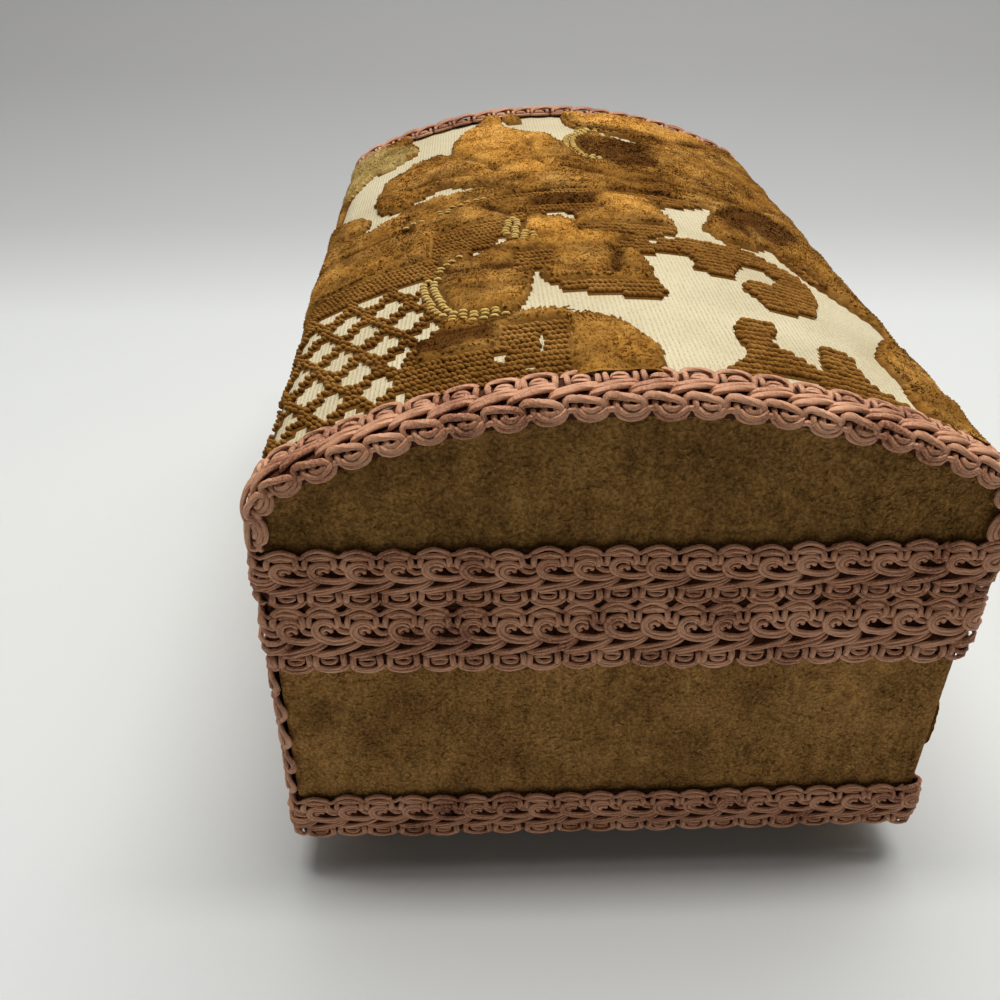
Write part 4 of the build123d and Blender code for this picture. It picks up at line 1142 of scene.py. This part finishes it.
BRASS = metal_material("brass_metal", "cda860", "a88242", 0.34)
STEEL = metal_material("steel_metal", "babab8", "8c8c8c", 0.3)
CAST = metal_material("cast_metal_plate", "acaca8", "8c8c8a", 0.45)
WOOD = wood_material("pine_board", "cda878", "a87e50")
CARD = wood_material("pressed_board", "b0926a", "967854", 0.75)
DARK_WOOD = wood_material("dark_foot_wood", "4a2c1a", "28160c", 0.45, (1, 1, 0.12))
SATIN = satin_material("gold_satin", "d4a65c", "b0803e")
PLASTIC = metal_material("moulded_plastic", "ded6be", "ccc2a8", 0.5, 0.0)
GLASS = metal_material("silvered_glass", "e2e4e2", "dadddc", 0.04, wear=0.05)
# The bottom board is coloured dark brown so that the floor under the box stays dark: painted shade.
UNDERSIDE_SHADE = wood_material("dark_underside_board", "3a2618", "24160e", 0.7)
FINISH = {
    "wood": WOOD, "dark_wood": DARK_WOOD, "card": CARD, "velvet": VELVET, "brocade": PILE, "gimp": GIMP,
    "satin": SATIN, "brass": BRASS, "steel": STEEL, "cast_metal": CAST, "plastic": PLASTIC,
    "mirror_glass": GLASS,
}
slots = {part["node"]: part["material_slot"] for part in frame["record"]["subparts"]}
for node, piece in frame["nodes"].items():
    for k in range(len(piece.material_slots)):
        piece.material_slots[k].material = UNDERSIDE_SHADE if node == "bottom_board" else FINISH[slots[node]]


# Satin inside the box and the lid

def satin_piece(name, points, body, node=None):
    piece = put(mesh_piece(name, points, None, [SATIN]), body, node)


def wall_lining(node):
    """Satin drawn over card round an inside space, turned over at the top."""
    low, high = box_mm(node)
    centre, reach = (low + high)[:2] / 2, (high - low)[:2] / 2
    walk, around = round_box(reach[0], reach[1], 1.5)
    s = np.linspace(0, around, int(around / 1.2) + 1)
    point, normal = walk(s)
    turned = high[2] - np.array([0.35, 0.08, 0.0, 0.12, 0.5, 1.2])
    z = np.concatenate([np.linspace(low[2], high[2] - 0.8, 18), turned])
    depth = np.concatenate([np.full(18, 1.12), [1.05, 0.85, 0.55, 0.22, 0.06, 0.02]])
    S, Z = crossed(s, z)
    share = (Z - low[2]) / (high[2] - low[2])
    ripple = np.sin(2 * math.pi * S / 8.3 + 1.6 * noise(S, Z * 0.2, 14.0, 5))
    pucker = 0.13 * ripple * (0.35 + 0.65 * (2 * share - 1) ** 2)
    inward = depth[None] + np.where(depth[None] > 0.8, pucker + 0.1 * noise(S, Z, 9.0, 6), 0.0)
    xy = (point + centre)[:, None, :] - normal[:, None, :] * inward[..., None]
    satin_piece(node + "_satin", np.dstack([xy, Z]), "case", node)


wall_lining("well_wall_lining")
wall_lining("ring_tray_lining")


def cushion(node, body):
    """A stuffed pad: crowned, its sides pulled in between the corners, puckered along the seam."""
    low, high = box_mm(node)
    centre, reach = (low + high) / 2, (high - low) / 2
    walk, around = round_box(reach[0] - 0.2, reach[1] - 0.2, 4.0)
    s = np.linspace(0, around, 260)
    point, normal = walk(s)
    pull = 1.3 * np.stack([1 - (point[:, 1] / reach[1]) ** 2, 1 - (point[:, 0] / reach[0]) ** 2], 1)
    point = point - normal * np.clip(np.abs(normal) * pull, 0, None)
    tall = high[2] - low[2]
    seam = 0.42 * tall
    q = np.concatenate([np.sin(np.linspace(0, math.pi / 2, 14)), np.sin(np.linspace(math.pi / 2, 0, 34))[1:]])
    under = np.arange(len(q)) < 14
    S, Q = crossed(s, q)
    crown = (1 - Q ** 2) * 2.2
    over = seam + (tall - 2.2 - seam) * np.sqrt(unit(1 - Q ** 7)) + crown
    beneath = seam * (1 - np.sqrt(unit(1 - Q ** 14)))
    gather = 0.5 + 0.5 * np.cos(2 * math.pi * S / 5.1 + 2.0 * noise(S, 0 * S, 17.0, 11))
    pucker = gather * np.exp(-(1 - Q) * 13) * 0.45
    X, Y = point[:, 0][:, None] * Q, point[:, 1][:, None] * Q
    soft = 0.35 * noise(X, Y, 26.0, 12) + 0.12 * noise(X, Y, 8.0, 13)
    Z = np.where(under[None], beneath, over - np.where(Q < 0.999, pucker - soft * (1 - Q ** 6), 0.0))
    points = np.dstack([X + centre[0], Y + centre[1], Z + low[2]])
    satin_piece(node + "_cushion", points, body, node)


cushion("well_floor_pad", "case")


def padded_rolls(node, count, gap):
    """Foam rolls wrapped in satin, tucked in at their ends."""
    low, high = box_mm(node)
    pitch = (high[0] - low[0] + gap) / count
    reach, tall, long = (pitch - gap) / 2, (high[2] - low[2]) / 2, high[1]
    y = long * np.sin(np.linspace(-math.pi / 2, math.pi / 2, 80)) * 0.999
    turn = np.linspace(0, 2 * math.pi, 33)
    for k in range(count):
        middle = low[0] + (k + 0.5) * pitch - gap / 2
        Y, T = crossed(y, turn)
        end = unit((np.abs(Y) - (long - 5.0)) / 5.0)
        tuck = np.sqrt(unit(1 - end ** 2))
        crease = 1 - 0.07 * end * (0.5 + 0.5 * np.cos(6 * T + k))
        slack = 0.12 * noise(Y, T * 5, 7.0, 50 + k) + 0.07 * noise(Y, T * 5, 2.6, 60 + k)
        c, d = np.cos(T), np.sin(T)
        across = np.sign(c) * np.abs(c) ** 0.8 * (reach - 0.15) + slack * c
        up = np.sign(d) * np.abs(d) ** np.where(d < 0, 0.45, 0.9) * (tall - 0.1) + slack * unit(d)
        points = np.dstack([middle + across * tuck * crease, Y, low[2] + tall + up * tuck * crease])
        satin_piece(f"{node}_{k}", points, "case", None if k else node)


padded_rolls("ring_rolls", 4, 0.4)


def lid_frame(node, window, rise):
    """The padded frame round the mirror, gathered at both edges."""
    low, high = box_mm(node)
    outer = np.array([high[0] - 0.4, high[1] - 0.4])
    inner = np.asarray(window)
    corner = np.array([(1, -1), (1, 1), (-1, 1), (-1, -1), (1, -1)])
    edge_in, edge_out = [], []
    for a, b, parts in zip(corner[:-1], corner[1:], (60, 100, 60, 100)):
        t = np.linspace(0, 1, parts)[:, None]
        edge_in.append((a * (1 - t) + b * t) * inner)
        edge_out.append((a * (1 - t) + b * t) * outer)
    edge_in, edge_out = np.vstack(edge_in), np.vstack(edge_out)
    walk = lengths_along(edge_out)
    w = 0.5 - 0.5 * np.cos(np.linspace(0, math.pi, 26))
    S, W = crossed(walk, w)
    xy = edge_in[:, None] * (1 - W[..., None]) + edge_out[:, None] * W[..., None]
    full = (4 * W * (1 - W)) ** 0.38
    back = rise + (high[2] - 0.2 - rise) * W * W * (3 - 2 * W)
    pleat = 0.34 * np.cos(2 * math.pi * S / 5.6 + 1.8 * noise(S, 0 * S, 19.0, 15))
    pleat = pleat * (1 - 0.8 * full) * (full > 0.2)
    Z = back - (high[2] - low[2] + 0.6) * full + pleat + 0.12 * noise(xy[..., 0], xy[..., 1], 9.0, 16)
    satin_piece(node + "_frame", np.dstack([xy, Z]), "lid", node)


MIRROR_LOW, MIRROR_HIGH = box_mm("mirror")
lid_frame("lid_satin_lining", (MIRROR_HIGH[0] - 2.0, MIRROR_HIGH[1] - 2.0), MIRROR_LOW[2] - 0.05)


# Screw heads

def screw_head(name, place, up, radius, tall, turn, body, slot):
    """A domed head with a slot, standing at a place and facing up or down."""
    R, T = crossed(np.linspace(0, 1, 12), np.linspace(0, 2 * math.pi, 49))
    u, v = R * np.cos(T), R * np.sin(T)
    dome = tall * np.sqrt(unit(1 - (0.93 * R) ** 4)) * np.where(R > 0.99, 0.0, 1.0)
    across = u * math.sin(turn) + v * math.cos(turn)
    dome = dome - 0.6 * tall * unit(1.5 - np.abs(across) / 0.13) * (R < 0.99)
    points = np.dstack([place[0] + radius * u, place[1] + radius * v, place[2] + up * dome])
    put(mesh_piece(name, points, None, [FINISH[slot]]), body)


HINGE_SCREWS_X, HINGE_SCREWS_Y = (-67.0, -55.0, 55.0, 67.0), 57.4
BED_SCREWS = ((-46.0, 25.0), (-80.0, 25.0), (-63.0, -14.0))
leaf_top, lid_leaf_low = HINGE_LOW[2] + 1.3, HINGE_LOW[2] + 1.7
for k, x in enumerate(HINGE_SCREWS_X):
    on_body, on_lid = (x, HINGE_SCREWS_Y, leaf_top), (x, HINGE_SCREWS_Y, lid_leaf_low)
    screw_head(f"hinge_screw_body_{k}", on_body, 1, 1.3, 0.16, 0.5 + k, "case", "brass")
    screw_head(f"hinge_screw_lid_{k}", on_lid, -1, 1.3, 0.16, 1.1 + k, "lid", "brass")
board_low = box_mm("bottom_board")[0][2]
for k, (x, y) in enumerate(BED_SCREWS):
    screw_head(f"movement_screw_{k}", (x, y, board_low), -1, 2.9, 1.3, 0.3 + 0.8 * k, "case", "steel")
comb_low, comb_high = box_mm("comb")
for k, y in enumerate((comb_low[1] + 4.0, comb_high[1] - 4.0)):
    on_comb = (comb_high[0] - 2.2, y, comb_high[2])
    screw_head(f"comb_screw_{k}", on_comb, 1, 1.5, 0.8, 0.2 + k, "case", "steel")


# Floor, light and camera

SWEEP_NEAR, SWEEP_BEND, SWEEP_RADIUS, SWEEP_SCALE = 900.0, -240.0, 420.0, 2000.0


def sweep():
    """A paper floor that curves up behind the box, with the distance along it as its first coordinate."""
    line = [(SWEEP_NEAR, 0.0)] + [(x, 0.0) for x in np.linspace(700, SWEEP_BEND, 20)]
    for angle in np.linspace(0.05, 1, 24) * math.radians(80):
        line.append((SWEEP_BEND - SWEEP_RADIUS * math.sin(angle), SWEEP_RADIUS * (1 - math.cos(angle))))
    line.append((line[-1][0] - 120, line[-1][1] + 680))
    along = lengths_along(line)
    k, Y = crossed(np.arange(len(line)), np.linspace(-1500, 1500, 31))
    x, z = np.array(line).T
    return np.dstack([x[k], Y, z[k]]), np.dstack([along[k], Y]) / SWEEP_SCALE


paper = Shader("paper_floor", roughness=0.85, specular=0.2)
# The paper is painted darker where it curves up behind the box: painted shade.
PAPER_TONES_AND_SHADE = (
    (160, "d6d8d7"), (60, "d8dad8"), (-60, "d8dad8"), (-190, "d6d8d7"), (-310, "b8b9b9"),
    (-460, "a3a3a3"), (-760, "989797"),
)
paper_colour_and_shade = paper.ramp(paper.uv()[0], *[((SWEEP_NEAR - x) / SWEEP_SCALE, tone) for x, tone in PAPER_TONES_AND_SHADE])
paper_colour_and_shade = paper.mix(paper.math("MULTIPLY", paper.noise(0.012, 3.0), 0.06), paper_colour_and_shade, "b4b4b2")
points, uv = sweep()
paper_look = paper.done(paper_colour_and_shade, (paper.noise(0.8, 3.0), 0.1, 0.0003))
floor = mesh_piece("paper_sweep", points, None, [paper_look], uv=uv)

world = bpy.data.worlds.new("room")
bpy.context.scene.world = world
world.use_nodes = True
sky = Nodes(world.node_tree)
toward = sky.node("ShaderNodeVectorMath", operation="DOT_PRODUCT")
toward.inputs[1].default_value = (-0.75, 0.0, 0.66)
sky.link(sky.node("ShaderNodeTexCoord").outputs["Generated"], toward.inputs[0])
DIM = (0.036, 0.036, 0.036, 1.0)
room = sky.ramp(toward.outputs["Value"], (0.0, (0.15, 0.15, 0.15, 1.0)), (0.06, DIM), (0.42, DIM),
                (0.85, (0.80, 0.81, 0.82, 1.0)))
seen = sky.node("ShaderNodeLightPath").outputs
straight = sky.math("MAXIMUM", seen["Is Camera Ray"], seen["Is Glossy Ray"])
light_colour = sky.mix(straight, room, (0.62, 0.62, 0.62, 1.0))
sky.link(light_colour, world.node_tree.nodes["Background"].inputs["Color"])


def area_light(name, place, target, size, watts):
    data = bpy.data.lights.new(name, "AREA")
    data.shape = "RECTANGLE"
    data.size, data.size_y = size
    data.energy = watts
    data.color = (1.0, 0.99, 0.97)
    light = bpy.data.objects.new(name, data)
    light.location = place
    light.rotation_euler = (Vector(target) - Vector(place)).to_track_quat("-Z", "Y").to_euler()
    bpy.context.scene.collection.objects.link(light)


area_light("overhead_window", (-0.38, 0.14, 1.0), (0, 0, 0.05), (1.0, 1.3), 10.2)
area_light("ceiling_lamp", (0.035, 0.03, 1.0), (0.035, 0.03, 0.0), (0.10, 0.8), 4.7)

SENSOR, FOCAL_PIXELS, PHOTO_PIXELS = 36.0, 980, 1000
CAMERA_PLACE = (0.2264, -0.0258, 0.1731)
yaw, pitch, roll = 0.034053, 0.581792, -0.003384
forward = Vector((-math.cos(yaw) * math.cos(pitch), math.sin(yaw) * math.cos(pitch), -math.sin(pitch)))
level = Vector((math.sin(yaw), math.cos(yaw), 0.0))
down = forward.cross(level)
if down.z > 0:
    down = -down
right = math.cos(roll) * level + math.sin(roll) * down
below = -math.sin(roll) * level + math.cos(roll) * down
camera_data = bpy.data.cameras.new("camera")
camera_data.sensor_width = SENSOR
camera_data.lens = SENSOR * FOCAL_PIXELS / PHOTO_PIXELS
camera_data.clip_start = 0.01
camera = bpy.data.objects.new("camera", camera_data)
turn = Matrix((right, -below, -forward)).transposed().to_4x4()
camera.matrix_world = Matrix.Translation(CAMERA_PLACE) @ turn
bpy.context.scene.collection.objects.link(camera)
bpy.context.scene.camera = camera
bpy.context.scene.view_settings.view_transform = "Standard"
